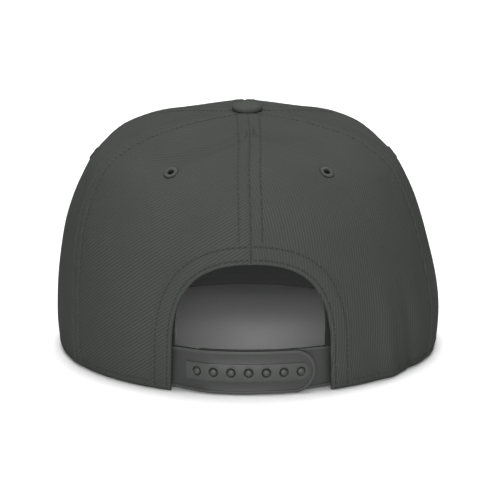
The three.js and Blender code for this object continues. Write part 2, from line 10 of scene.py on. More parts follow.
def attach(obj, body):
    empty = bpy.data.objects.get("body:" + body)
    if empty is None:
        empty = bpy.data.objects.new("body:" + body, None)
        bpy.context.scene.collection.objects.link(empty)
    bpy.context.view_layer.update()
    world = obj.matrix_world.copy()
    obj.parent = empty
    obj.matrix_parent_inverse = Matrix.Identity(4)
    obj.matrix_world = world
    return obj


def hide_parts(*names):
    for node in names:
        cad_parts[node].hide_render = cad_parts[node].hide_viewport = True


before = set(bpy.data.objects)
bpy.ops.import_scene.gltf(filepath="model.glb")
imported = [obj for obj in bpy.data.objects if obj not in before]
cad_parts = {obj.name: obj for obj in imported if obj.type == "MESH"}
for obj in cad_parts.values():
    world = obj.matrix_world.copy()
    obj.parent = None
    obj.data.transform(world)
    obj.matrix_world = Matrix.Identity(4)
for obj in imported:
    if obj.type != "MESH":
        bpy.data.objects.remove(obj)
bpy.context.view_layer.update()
dice = np.random.default_rng(11)

# the crown's form, as in the part

crown = {
    "height": 107.7,
    "sideReach": 86.0,
    "backReach": 95.0,
    "frontReach": 95.0,
    "lean": 2.0,
    "wall": 1.8,
    "flatness": 1.6,
    "frontFlatness": 0.9,
    "seamDrift": 4.0,
    "headCentreY": -34.0,
    "topShare": 0.985,
}
seams = {
    "front": -180.0,
    "frontLeft": -124.0,
    "backLeft": -68.0,
    "back": 1.3,
    "backRight": 73.0,
    "frontRight": 124.0,
    "frontAgain": 180.0,
}

# rim to button: out and up at the back, the side and the front, as shares of the reaches and the height
crownRows = np.array(
    [
        (0.995, 0.0, 0.986, 0.0, 0.995, 0.0),
        (1.002, 0.045, 1.003, 0.045, 1.0, 0.06),
        (1.01, 0.15, 1.014, 0.15, 1.006, 0.17),
        (1.008, 0.29, 1.006, 0.29, 1.0, 0.31),
        (0.99, 0.44, 0.978, 0.44, 0.982, 0.47),
        (0.95, 0.585, 0.94, 0.58, 0.95, 0.62),
        (0.87, 0.72, 0.878, 0.715, 0.89, 0.76),
        (0.745, 0.835, 0.788, 0.833, 0.775, 0.88),
        (0.57, 0.92, 0.61, 0.922, 0.595, 0.94),
        (0.36, 0.972, 0.375, 0.972, 0.375, 0.977),
        (0.16, 0.995, 0.16, 0.995, 0.165, 0.996),
        (0.0, 1.0, 0.0, 1.0, 0.0, 1.0),
    ]
)

# soft creases: start turn and rise, end turn and rise, width, depth inwards
folds = [
    (-3, 0.815, -54, 0.645, 5.5, 2.6),
    (7, 0.824, 63, 0.745, 5.5, 2.3),
    (47, 0.0, 42, 0.4, 7, -1.2),
    (58, 0.0, 52, 0.4, 7, 1.0),
]

visor = {
    "depth": 68.0,
    "halfWidth": 87.5,
    "widestAhead": 78.0,
    "thickness": 3.4,
    "camber": 5.0,
    "wrap": 62.0,
    "endGap": 0.5,
    "squareness": 2.7,
    "frontShare": 0.86,
    "endLap": 1.0,
    "rampDegrees": 6.0,
    "restGap": 0.05,
    "stitchRows": 8,
    "firstRow": 5.0,
    "rowSpacing": 6.6,
    "columns": 220,
    "softness": 0.12,
    "rowDepth": 0.28,
}


def ease(value, low, high):
    share = np.clip((np.asarray(value, float) - low) / (high - low), 0, 1)
    return share * share * (3 - 2 * share)


def mix(a, b, share):
    return a + (b - a) * share


def hump(value, middle, width):
    return np.exp(-(((np.asarray(value, float) - middle) / width) ** 2))


def visorUnderside(x):
    return visor["camber"] * np.maximum(0, 1 - (x / visor["halfWidth"]) ** 2)


def rimHeight(turn):
    fromFront = 180 - np.abs(turn)
    rampStart = visor["wrap"] + visor["endGap"]
    onVisor = 1 - ease(fromFront, rampStart, rampStart + visor["rampDegrees"])
    x = crown["sideReach"] * crownRows[0, 2] * np.sin(np.radians(np.minimum(fromFront, visor["wrap"])))
    return onVisor * (visorUnderside(x) + visor["thickness"] + visor["restGap"])


def sectionsAt(rise):
    last = len(crownRows) - 1
    place = np.clip(rise, 0, 1) * last
    start = np.minimum(place.astype(int), last - 1)
    t = (place - start)[:, None]
    before, here = crownRows[np.maximum(start - 1, 0)], crownRows[start]
    after, beyond = crownRows[start + 1], crownRows[np.minimum(start + 2, last)]
    leave, arrive = (after - before) / 2, (beyond - here) / 2
    return (
        (2 * here - 2 * after + leave + arrive) * t**3
        + (3 * after - 3 * here - 2 * leave - arrive) * t**2
        + leave * t
        + here
    )


def crownFace(turn, rise):
    turn, rise = np.broadcast_arrays(np.asarray(turn, float), np.asarray(rise, float))
    backOut, backUp, sideOut, sideUp, frontOut, frontUp = sectionsAt(rise).T
    behind = turn > seams["backLeft"]
    ahead = (turn - seams["frontLeft"]) / (seams["backLeft"] - seams["frontLeft"])
    nearness = np.clip(np.where(behind, turn / seams["backLeft"], ahead), 0, 1)
    angle = np.radians(turn + crown["seamDrift"] * nearness * (1 - ease(rise, 0.3, 0.65)))
    atBack = np.cos(angle) > 0
    toSide = np.sin(angle) ** 2
    out = mix(np.where(atBack, backOut, frontOut), sideOut, toSide)
    up = mix(np.where(atBack, backUp, frontUp), sideUp, toSide)
    lean = crown["lean"] * ease(up, 0.15, 0.6) * (1 - 0.8 * ease(up, 0.85, 1))
    rim = rimHeight(turn)
    reach = np.where(atBack, crown["backReach"], crown["frontReach"])
    return np.stack(
        [
            crown["sideReach"] * out * np.sin(angle) - lean,
            -reach * out * np.cos(angle),
            rim + (crown["height"] - rim) * up,
        ],
        axis=1,
    )


def crownNormal(turn, rise):
    turn, rise = np.broadcast_arrays(np.asarray(turn, float), np.asarray(rise, float))
    low, high = np.maximum(0, rise - 0.004), np.minimum(0.996, rise + 0.004)
    around = crownFace(turn + 0.5, rise) - crownFace(turn - 0.5, rise)
    upwards = crownFace(turn, high) - crownFace(turn, low)
    normal = np.cross(around, upwards)
    normal /= np.linalg.norm(normal, axis=1)[:, None]
    normal[:, 2] *= ease(rise, 0, 1 / 11)
    return normal / np.linalg.norm(normal, axis=1)[:, None]


def foldRelief(turn, rise):
    perDegree = radians(crown["sideReach"])
    riseLength = crown["height"] + crown["sideReach"] / 2
    relief = np.zeros(np.shape(turn))
    for fromTurn, fromRise, toTurn, toRise, width, depth in folds:
        start = np.array([fromTurn * perDegree, fromRise * riseLength])
        run = np.array([toTurn * perDegree, toRise * riseLength]) - start
        here = np.stack([turn * perDegree, rise * riseLength], axis=1) - start
        share = np.clip(here @ run / (run @ run), 0, 1)
        distance = np.linalg.norm(here - share[:, None] * run, axis=1)
        relief -= depth * (1 - ease(share, 0.6, 1)) * np.exp(-((distance / width) ** 2) * 2)
    return relief


def shareOfPanel(turn):
    edges = list(seams.values())
    place = np.clip(np.searchsorted(edges, turn, side="left"), 1, len(edges) - 1)
    low, high = np.take(edges, place - 1), np.take(edges, place)
    return (turn - low) / (high - low)


def crownPoint(turn, rise, outwards):
    turn, rise = np.broadcast_arrays(np.asarray(turn, float), np.asarray(rise, float))
    flatness = np.where(np.abs(turn) > seams["frontRight"], crown["frontFlatness"], crown["flatness"])
    pull = flatness * np.sin(pi * shareOfPanel(turn)) ** 2 * ease(rise, 0.15, 0.6)
    outwards = outwards + foldRelief(turn, rise) - pull * ease(1 - rise, 0, 0.3)
    return crownFace(turn, rise) + crownNormal(turn, rise) * outwards[:, None]


def riseAtHeight(turn, height, inset):
    low, high = np.zeros(np.shape(turn)), np.full(np.shape(turn), 0.75)
    for _ in range(22):
        middle = (low + high) / 2
        below = crownPoint(turn, middle, -inset)[:, 2] < height
        low, high = np.where(below, middle, low), np.where(below, high, middle)
    return (low + high) / 2


def insideAt(turn, height, inset):
    turn, height = np.broadcast_arrays(np.asarray(turn, float), np.asarray(height, float))
    underRim = height <= rimHeight(turn)
    spots = crownPoint(turn, np.where(underRim, 0, riseAtHeight(turn, height, inset)), -inset)
    spots[:, 2] = height
    return spots


# the turn and rise of the back wall's point at x and z, seen from behind
def backWallPlace(x, z, inset):
    x, z = np.broadcast_arrays(np.asarray(x, float), np.asarray(z, float))
    turn = np.degrees(np.arcsin(np.clip(x / crown["sideReach"], -0.95, 0.95)))
    for _ in range(8):
        rise = np.where(z <= 0, 0, riseAtHeight(turn, z, inset))
        off = x - crownPoint(turn, rise, -inset)[:, 0]
        turn = turn + np.degrees(off / (crown["sideReach"] * np.cos(np.radians(turn))))
    return turn, rise


# tools of the bench


def deselectAll():
    if bpy.context.object and bpy.context.object.mode != "OBJECT":
        bpy.ops.object.mode_set(mode="OBJECT")
    bpy.ops.object.select_all(action="DESELECT")


def pick(*chosen):
    deselectAll()
    for piece in chosen:
        piece.select_set(True)
    bpy.context.view_layer.objects.active = chosen[0]


def pointsOf(piece):
    spots = np.zeros(len(piece.data.vertices) * 3)
    piece.data.vertices.foreach_get("co", spots)
    return spots.reshape(-1, 3)


def setPoints(piece, spots):
    piece.data.vertices.foreach_set("co", np.asarray(spots, float).ravel())
    piece.data.update()


# millimetres round the head's middle become the frame's metres
def toFrame(spots):
    return (np.asarray(spots, float) + (0, crown["headCentreY"], 0)) / 1000


# selects some of a piece's faces or edges, and stays in edit mode
def selectOnly(piece, kind, chosen):
    pick(piece)
    bpy.context.tool_settings.mesh_select_mode = (False, kind == "edges", kind == "polygons")
    bpy.ops.object.mode_set(mode="EDIT")
    bpy.ops.mesh.select_all(action="DESELECT")
    bpy.ops.object.mode_set(mode="OBJECT")
    getattr(piece.data, kind).foreach_set("select", np.asarray(chosen, bool))
    bpy.ops.object.mode_set(mode="EDIT")


def markRaised(piece, share):
    piece.data.attributes.new("raised", "FLOAT", "POINT").data.foreach_set("value", np.clip(share, 0, 1))


# a flat grid, and the row and column of each of its points
def addGrid(name, rows, columns):
    deselectAll()
    bpy.ops.mesh.primitive_grid_add(x_subdivisions=columns - 1, y_subdivisions=rows - 1, size=2)
    piece = bpy.context.object
    piece.name = name
    spots = pointsOf(piece)
    row = np.rint((spots[:, 1] + 1) / 2 * (rows - 1)).astype(int)
    column = np.rint((spots[:, 0] + 1) / 2 * (columns - 1)).astype(int)
    return piece, row, column


def layUv(piece, flat):
    layer = piece.data.uv_layers.active or piece.data.uv_layers.new(name="cloth")
    layer.name = "cloth"
    corner = np.zeros(len(piece.data.loops), int)
    piece.data.loops.foreach_get("vertex_index", corner)
    layer.data.foreach_set("uv", (np.asarray(flat, float)[corner] / 1000).ravel())


# a pattern's front and back faces, joined where their edges meet
def closeSheet(piece, front, back, flat):
    layUv(piece, flat)
    pick(piece)
    bpy.ops.object.duplicate()
    lining = bpy.context.object
    setPoints(piece, toFrame(front))
    setPoints(lining, toFrame(back))
    lining.data.flip_normals()
    pick(piece, lining)
    bpy.ops.object.join()
    mergeDoubles(piece, 4e-6)
    return piece


def sheetFromTables(name, front, back, flat):
    piece, row, column = addGrid(name, *front.shape[:2])
    return closeSheet(piece, front[row, column], back[row, column], flat[row, column])


def mergeDoubles(piece, distance):
    pick(piece)
    bpy.ops.object.mode_set(mode="EDIT")
    bpy.ops.mesh.select_all(action="SELECT")
    bpy.ops.mesh.remove_doubles(threshold=distance)
    bpy.ops.object.mode_set(mode="OBJECT")


def finishPiece(piece, material, nodes, sharp=45):
    pick(piece)
    piece.data.materials.clear()
    piece.data.materials.append(material)
    bpy.ops.object.shade_smooth_by_angle(angle=radians(sharp))
    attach(piece, "root")
    if nodes:
        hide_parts(*nodes)
    deselectAll()


def spread(start, end, step):
    return np.linspace(start, end, max(2, int(np.ceil(abs(end - start) / step)) + 1))


# materials

# rib is the pitch of the twill's ribs and yarn the pitch across them, in millimetres
charcoal = (0.0470, 0.0496, 0.0470)
cloths = {
    "crownTwill": {"tint": charcoal, "rib": 1.35, "yarn": 0.65, "relief": 0.3, "contrast": 0.55},
    "visorTwill": {"tint": charcoal, "rib": 1.35, "yarn": 0.65, "relief": 0.3, "contrast": 0.5},
    "bandCotton": {"tint": (0.082, 0.085, 0.083), "rib": 0.8, "yarn": 0.8, "relief": 0.14, "contrast": 0.1},
    "buttonTwill": {"tint": charcoal, "rib": 0.9, "yarn": 0.6, "relief": 0.12, "contrast": 0.16},
    # the facing tape is tinted near black, darker than the cloth: painted shade for the recessed edge inside
    # the opening
    "shadedTapeCotton": {"tint": (0.014, 0.015, 0.014), "rib": 0.8, "yarn": 0.8, "relief": 0.14, "contrast": 0.1},
}
threads = {
    # the sewing thread is tinted half as bright as the cloth it matches: painted shade, so the rows of
    # stitches read as dark lines
    "shadedSewingThread": {"tint": (0.024, 0.0255, 0.024), "ply": 0.5, "relief": 0.08},
    # the eyelet's ring is darker at its outer edge and in its hole: painted shadow line round it
    "embroideryThread": {"tint": (0.045, 0.0474, 0.045), "ply": 0.5, "relief": 0.08, "hollowShade": 0.25},
}
plasticLook = {
    "tint": (0.032, 0.034, 0.032),
    # the recessed field of the strap is painted darker than its raised rim: painted shade in the hollows
    "hollowShade": 0.66,
    "roughness": 0.5,
    "specular": 0.35,
    "grain": 0.35,
    "relief": 0.012,
}


class NodeBench:
    def __init__(self, name):
        self.material = bpy.data.materials.new(name)
        self.material.use_nodes = True
        self.tree = self.material.node_tree
        self.shader = self.tree.nodes["Principled BSDF"]

    def add(self, kind, **settings):
        node = self.tree.nodes.new(kind)
        for key, value in settings.items():
            setattr(node, key, value)
        return node

    def link(self, source, target):
        self.tree.links.new(source, target)

    def sum(self, how, a, b):
        node = self.add("ShaderNodeMath", operation=how)
        for socket, value in zip(node.inputs, (a, b)):
            if isinstance(value, (int, float)):
                socket.default_value = value
            else:
                self.link(value, socket)
        return node.outputs[0]

    def stretched(self, value, gain, lift):
        output = self.sum("MULTIPLY_ADD", value, gain)
        output.node.inputs[2].default_value = lift
        return output

    def noise(self, place, scale, detail=2.0):
        node = self.add("ShaderNodeTexNoise")
        node.inputs["Scale"].default_value = scale
        node.inputs["Detail"].default_value = detail
        self.link(place, node.inputs["Vector"])
        return node.outputs["Fac"]

    def bands(self, place, direction, pitch, distortion):
        node = self.add("ShaderNodeTexWave", bands_direction=direction)
        node.inputs["Scale"].default_value = 2 * pi / 20 / pitch
        node.inputs["Distortion"].default_value = distortion
        node.inputs["Detail"].default_value = 1.0
        node.inputs["Detail Scale"].default_value = 0.8
        self.link(place, node.inputs["Vector"])
        return node.outputs["Fac"]

    # one on what stands out, less in the hollows: painted shade in hollows and recesses
    def paintedHollowShade(self, hollowShade):
        raised = self.add("ShaderNodeAttribute", attribute_name="raised")
        return self.stretched(raised.outputs["Fac"], 1 - hollowShade, hollowShade)

    def tinted(self, tint, brightness):
        node = self.add("ShaderNodeVectorMath", operation="SCALE")
        node.inputs[0].default_value = tint
        self.link(brightness, node.inputs["Scale"])
        self.link(node.outputs[0], self.shader.inputs["Base Color"])

    def bump(self, height, relief):
        node = self.add("ShaderNodeBump")
        node.inputs["Strength"].default_value = 1.0
        node.inputs["Distance"].default_value = relief / 1000
        self.link(height, node.inputs["Height"])
        self.link(node.outputs[0], self.shader.inputs["Normal"])


def clothMaterial(name):
    look = cloths[name]
    bench = NodeBench(name)
    uv = bench.add("ShaderNodeUVMap", uv_map="cloth")
    inMillimetres = bench.add("ShaderNodeMapping")
    inMillimetres.inputs["Scale"].default_value = (1000, 1000, 1000)
    bench.link(uv.outputs[0], inMillimetres.inputs["Vector"])
    place = inMillimetres.outputs[0]
    rib = bench.bands(place, "X", look["rib"], 0.7)
    yarn = bench.bands(place, "Y", look["yarn"], 0.8)
    patches = bench.noise(place, 0.035, 1.0)
    fuzz = bench.noise(place, 2.6, 3.0)
    shown = bench.stretched(patches, 1.1, 0.1)  # ribs stand out in some stretches and fade in others
    weave = bench.sum("MULTIPLY", rib, bench.stretched(yarn, 0.3, 0.5))
    seenWeave = bench.sum("MULTIPLY", weave, shown)
    bench.bump(bench.sum("ADD", seenWeave, bench.sum("MULTIPLY", fuzz, 0.35)), look["relief"])
    worn = bench.stretched(bench.noise(place, 0.012, 2.0), 0.16, 0.92 - look["contrast"] / 2)
    lit = bench.sum("ADD", worn, bench.sum("MULTIPLY", seenWeave, look["contrast"]))
    bench.tinted(look["tint"], bench.sum("ADD", lit, bench.sum("MULTIPLY", fuzz, 0.07)))
    bench.link(bench.stretched(fuzz, 0.12, 0.84), bench.shader.inputs["Roughness"])
    bench.shader.inputs["Specular IOR Level"].default_value = 0.02
    return bench.material


def threadMaterial(name):
    look = threads[name]
    bench = NodeBench(name)
    place = bench.add("ShaderNodeTexCoord").outputs["Object"]
    ply = bench.noise(place, 1000 / look["ply"], 2.0)
    bench.bump(ply, look["relief"])
    lit = bench.stretched(ply, 0.3, 0.86)
    # painted shade at the ring's edges and in its hole
    if "hollowShade" in look:
        lit = bench.sum("MULTIPLY", lit, bench.paintedHollowShade(look["hollowShade"]))
    bench.tinted(look["tint"], lit)
    bench.link(bench.stretched(ply, 0.2, 0.5), bench.shader.inputs["Roughness"])
    bench.shader.inputs["Specular IOR Level"].default_value = 0.12
    return bench.material


def plasticMaterial():
    bench = NodeBench("mouldedPlastic")
    place = bench.add("ShaderNodeTexCoord").outputs["Object"]
    grain = bench.noise(place, 1000 / plasticLook["grain"], 2.0)
    flow = bench.noise(place, 60.0, 2.0)
    bench.bump(grain, plasticLook["relief"])
    # painted shade: the recessed field and the hollows round the holes are darker, the raised rim paler
    shadedInHollows = bench.paintedHollowShade(plasticLook["hollowShade"])
    lit = bench.sum("ADD", shadedInHollows, bench.sum("MULTIPLY", flow, 0.08))
    bench.tinted(plasticLook["tint"], lit)
    rough = bench.stretched(flow, 0.14, plasticLook["roughness"] - 0.07)
    bench.link(rough, bench.shader.inputs["Roughness"])
    bench.shader.inputs["Specular IOR Level"].default_value = plasticLook["specular"]
    return bench.material


crownTwill = clothMaterial("crownTwill")
visorTwill = clothMaterial("visorTwill")
bandCotton = clothMaterial("bandCotton")
shadedTapeCotton = clothMaterial("shadedTapeCotton")
buttonTwill = clothMaterial("buttonTwill")
shadedSewingThread = threadMaterial("shadedSewingThread")
embroideryThread = threadMaterial("embroideryThread")
mouldedPlastic = plasticMaterial()
print("materials ready")

# the opening at the back

opening = {
    "halfWidth": 35.3,
    "waistHalfWidth": 34.8,
    "waistHeight": 22.0,
    "height": 57.6,
    "sideRise": 0.66,
    "sideLean": 0.98,
    "topFlat": 0.69,
    "hem": 8.0,
    "stitchRows": (1.8, 7.2),
    "gridStop": 9.6,  # the panel's own grid stops here, and rings that follow the edge go on
    "hemRings": (8.9, 8.2, 7.8, 7.5, 7.2, 6.9, 6.5, 5.7, 4.8, 3.9, 3.0),
    "foldRings": (2.5, 2.1, 1.8, 1.5, 1.1, 0.7, 0.35, 0.12, 0.0),
}


def openingEdge():
    shoulder = mix(opening["waistHeight"], opening["height"], opening["sideRise"])
    t = np.linspace(0, 1, 160)[:, None]
    corners = [
        np.array([opening["waistHalfWidth"], opening["waistHeight"]]),
        np.array([opening["waistHalfWidth"] * opening["sideLean"], shoulder]),
        np.array([opening["waistHalfWidth"] * opening["topFlat"], opening["height"]]),
        np.array([0, opening["height"]]),
    ]
    weights = ((1 - t) ** 3, 3 * t * (1 - t) ** 2, 3 * t**2 * (1 - t), t**3)
    rightSide = sum(corner * weight for corner, weight in zip(corners, weights))
    leg = mix(np.array([[opening["halfWidth"], -1.8]]), corners[0][None], np.linspace(0, 1, 60)[:-1, None])
    half = np.vstack([leg, rightSide])
    return np.vstack([half[:-1] * (-1, 1), half[::-1]])


archLine = openingEdge()
archSteps = np.linalg.norm(np.diff(archLine, axis=0), axis=1)
archLengths = np.concatenate([[0], np.cumsum(archSteps)])


def onArch(length):
    return np.stack([np.interp(length, archLengths, archLine[:, axis]) for axis in (0, 1)], axis=1)


# away from the opening, square to its edge
def awayFromArch(length):
    tangent = onArch(length + 0.4) - onArch(length - 0.4)
    tangent /= np.linalg.norm(tangent, axis=1)[:, None]
    return np.stack([-tangent[:, 1], tangent[:, 0]], axis=1)


# distance from the opening's edge, above zero on the cloth, and how far round the edge the nearest point is
def archDistance(x, z):
    here = np.stack([x, z], axis=1)
    starts, runs = archLine[:-1], np.diff(archLine, axis=0)
    distance, length = np.full(len(here), np.inf), np.zeros(len(here))
    for start, run, before in zip(starts, runs, archLengths):
        share = np.clip((here - start) @ run / (run @ run), 0, 1)
        apart = np.linalg.norm(here - start - share[:, None] * run, axis=1)
        closer = apart < distance
        distance = np.where(closer, apart, distance)
        length = np.where(closer, before + share * np.linalg.norm(run), length)
    away = awayFromArch(length)
    side = np.sum((here - onArch(length)) * away, axis=1)
    return np.where(side < 0, -distance, distance), length


# crown panels

panels = {
    "panel_back_left": {"between": ("backLeft", "back"), "grain": -57, "eyelet": (-32.4, 0.658)},
    "panel_back_right": {"between": ("back", "backRight"), "grain": -4, "eyelet": (35.4, 0.655)},
    "panel_side_left": {"between": ("frontLeft", "backLeft"), "grain": 8, "eyelet": (-98, 0.615)},
    "panel_side_right": {"between": ("backRight", "frontRight"), "grain": 50, "eyelet": (98, 0.615)},
    "panel_front_left": {"between": ("front", "frontLeft"), "grain": 50, "eyelet": (-152, 0.655)},
    "panel_front_right": {"between": ("frontRight", "frontAgain"), "grain": -5, "eyelet": (152, 0.655)},
}
sewing = {
    "seamColumns": (0, 0.04, 0.2, 0.45, 0.8, 1.2, 2.0, 3.0, 4.0, 4.6, 4.95, 5.3, 5.65, 6.0, 6.8, 8.0),
    "rimRows": (0, 0.12, 0.4, 0.8, 1.3, 2.0, 2.8, 3.3, 3.7, 4.1, 4.6, 5.4, 6.4),
    "gridStep": 1.15,
    "creaseDepth": 0.17,
    "creaseWidth": 0.8,
    "hemRoll": 0.9,
    "seamRow": 5.3,
    "rimRow": 3.7,
    "padHeight": 0.36,
    "padEdge": (4.7, 6.3),
    "rimPadEdge": (3.9, 5.4),
    "channelDepth": 0.42,
    "channelWidth": 0.42,
    "hemChannelWidth": 0.4,
    "puckerHeight": 0.08,
    "puckerPitches": {"seam": 6.3, "opening": 7.1, "rim": 8.5},
    "crest": (0.86, 0.95),  # the seams lie flat above these rises, round the button
    "crestFlattening": 0.8,
    "eyeletCut": 2.1,
    "eyeletRoll": 0.5,
}


def rolled(distance, radius):
    inShare = 1 - np.clip(distance / radius, 0, 1)
    return 1 - np.sqrt(1 - inShare**2)


# lengths over the cloth: across one degree of turn, and up from the rim
def clothMeasures(middleTurn):
    rise = np.linspace(0, 1, 600)
    line = crownFace(middleTurn, rise)
    oneDegree = crownFace(middleTurn + 0.5, rise) - crownFace(middleTurn - 0.5, rise)
    perDegree = np.linalg.norm(oneDegree, axis=1)
    upLength = np.concatenate([[0], np.cumsum(np.linalg.norm(np.diff(line, axis=0), axis=1))])
    return rise, perDegree, upLength


class PanelCloth:
    def __init__(self, name):
        self.cut = panels[name]
        self.start, self.end = (seams[seam] for seam in self.cut["between"])
        self.middle = (self.start + self.end) / 2
        self.riseTable, self.perDegreeTable, self.upTable = clothMeasures(self.middle)
        eyeTurn, eyeRise = (np.array([value]) for value in self.cut["eyelet"])
        self.eyelet = crownPoint(eyeTurn, eyeRise, 0)[0]
        self.eyeletPlace = (eyeTurn[0], eyeRise[0])

    def perDegree(self, rise):
        return np.interp(rise, self.riseTable, self.perDegreeTable)

    def upLength(self, rise):
        return np.interp(rise, self.riseTable, self.upTable)

    def riseAtLength(self, length):
        return np.interp(length, self.upTable, self.riseTable)

    def width(self, rise):
        return (self.end - self.start) * self.perDegree(rise)

    def seamDistance(self, turn, rise):
        return np.minimum(turn - self.start, self.end - turn) * self.perDegree(rise)

    def atOpening(self, turn, rise):
        if self.end > 90 or self.start < -90:
            return np.full(len(turn), 99.0)
        low = rise < 0.72
        face = crownPoint(turn, rise, np.zeros(len(turn)))
        distance = np.full(len(turn), 99.0)
        distance[low] = archDistance(face[low, 0], face[low, 2])[0]
        return distance

    # how far each point of the outer face stands out, and how far the front and back faces roll together
    def relief(self, turn, rise):
        seam = self.seamDistance(turn, rise)
        up = self.upLength(rise)
        arch = self.atOpening(turn, rise)
        eyelet = np.linalg.norm(crownPoint(turn, rise, 0) - self.eyelet, axis=1)
        top = self.upLength(crown["topShare"]) - up
        onHem = 1 - ease(arch, opening["hem"] - 0.3, opening["hem"] + 0.9)
        width = sewing["channelWidth"]
        pad = (1 - ease(seam, *sewing["padEdge"])) * (1 - 0.6 * onHem)
        pad = sewing["padHeight"] * (pad + np.maximum(onHem, 0.8 * (1 - ease(up, *sewing["rimPadEdge"]))))
        channel = hump(seam, sewing["seamRow"], width) * (1 - onHem) + 0.8 * hump(up, sewing["rimRow"], width)
        for row in opening["stitchRows"]:
            channel += hump(arch, row, sewing["hemChannelWidth"])
        pitches = sewing["puckerPitches"]
        wander = up + 9 * np.sin(turn * 0.7)
        pucker = np.sin(wander * 2 * pi / pitches["seam"]) * hump(seam, 6.5, 3.2) * ease(up, 4, 12)
        pucker += 1.1 * np.sin((turn * 1.5 + up) * 2 * pi / pitches["opening"]) * hump(arch, 9.0, 3.0)
        pucker += np.sin(turn * 1.45 * 2 * pi / pitches["rim"]) * hump(up, 5.0, 2.6)
        flattened = 1 - sewing["crestFlattening"] * ease(rise, *sewing["crest"])
        height = pad - sewing["channelDepth"] * channel + sewing["puckerHeight"] * pucker
        height *= flattened
        edge = np.minimum(np.minimum(up, arch), top) / sewing["hemRoll"]
        edge = np.minimum(edge, (eyelet - sewing["eyeletCut"]) / sewing["eyeletRoll"])
        roll = rolled(np.maximum(edge, 0), 1) * crown["wall"] / 2
        crease = sewing["creaseDepth"] * (1 - ease(seam, -sewing["creaseWidth"], sewing["creaseWidth"])) * 2
        crease *= flattened
        crease = np.where(seam < 1e-4, crown["wall"] / 2, crease)
        return height * ease(np.minimum(edge, seam), 0, 1.3), np.maximum(roll, crease)

    def front(self, turn, rise):
        height, roll = self.relief(turn, rise)
        return crownPoint(turn, rise, height - roll)

    def back(self, turn, rise):
        return crownPoint(turn, rise, self.relief(turn, rise)[1] - crown["wall"])

    def flat(self, turn, rise):
        angle = radians(self.cut["grain"])
        across, up = (turn - self.middle) * self.perDegree(rise), self.upLength(rise)
        along = across * cos(angle) + up * sin(angle)
        return np.stack([along, up * cos(angle) - across * sin(angle)], axis=1)


def panelPattern(name, cloth):
    full = cloth.upLength(crown["topShare"])
    middleRows = spread(sewing["rimRows"][-1], full - 1.2, sewing["gridStep"])[1:]
    rows = np.concatenate([sewing["rimRows"], middleRows, [full - 0.5, full - 0.2, full]])
    rises = cloth.riseAtLength(rows)
    near = np.array(sewing["seamColumns"])
    widest = cloth.width(rises).max()
    middles = len(spread(near[-1], widest - near[-1], sewing["gridStep"])) - 2
    turns = []
    for rise in rises:
        width = cloth.width(rise)
        beside = near * min(1, 0.42 * width / near[-1])
        between = np.linspace(beside[-1], width - beside[-1], middles + 2)[1:-1]
        across = np.concatenate([beside, between, width - beside[::-1]])
        turns.append(cloth.start + across / cloth.perDegree(rise))
    turns = np.array(turns)
    turns[:, 0], turns[:, -1] = cloth.start, cloth.end
    piece, row, column = addGrid(name, *turns.shape)
    setPoints(piece, np.column_stack([turns[row, column], rises[row], np.zeros(len(row))]))
    return piece


def boundaryEdges(piece):
    ends = np.zeros(len(piece.data.edges) * 2, int)
    piece.data.edges.foreach_get("vertices", ends)
    used = np.zeros(len(piece.data.loops), int)
    piece.data.loops.foreach_get("edge_index", used)
    return ends.reshape(-1, 2), np.bincount(used, minlength=len(piece.data.edges)) == 1


def deleteFacesWith(piece, unwanted):
    corners = [any(unwanted[v] for v in face.vertices) for face in piece.data.polygons]
    selectOnly(piece, "polygons", corners)
    bpy.ops.mesh.delete(type="FACE")
    bpy.ops.object.mode_set(mode="OBJECT")


def cutEyeletHole(piece, cloth):
    spots = pointsOf(piece)
    offset = crownPoint(spots[:, 0], spots[:, 1], 0) - cloth.eyelet
    deleteFacesWith(piece, np.linalg.norm(offset, axis=1) < sewing["eyeletCut"] + 0.35)
    spots = pointsOf(piece)
    distance = np.linalg.norm(crownPoint(spots[:, 0], spots[:, 1], 0) - cloth.eyelet, axis=1)
    ends, single = boundaryEdges(piece)
    rim = np.zeros(len(spots), bool)
    rim[ends[single].ravel()] = True
    rim &= distance < sewing["eyeletCut"] + 3
    shrink = (sewing["eyeletCut"] / distance[rim])[:, None]
    spots[rim, :2] = cloth.eyeletPlace + (spots[rim, :2] - cloth.eyeletPlace) * shrink
    setPoints(piece, spots)


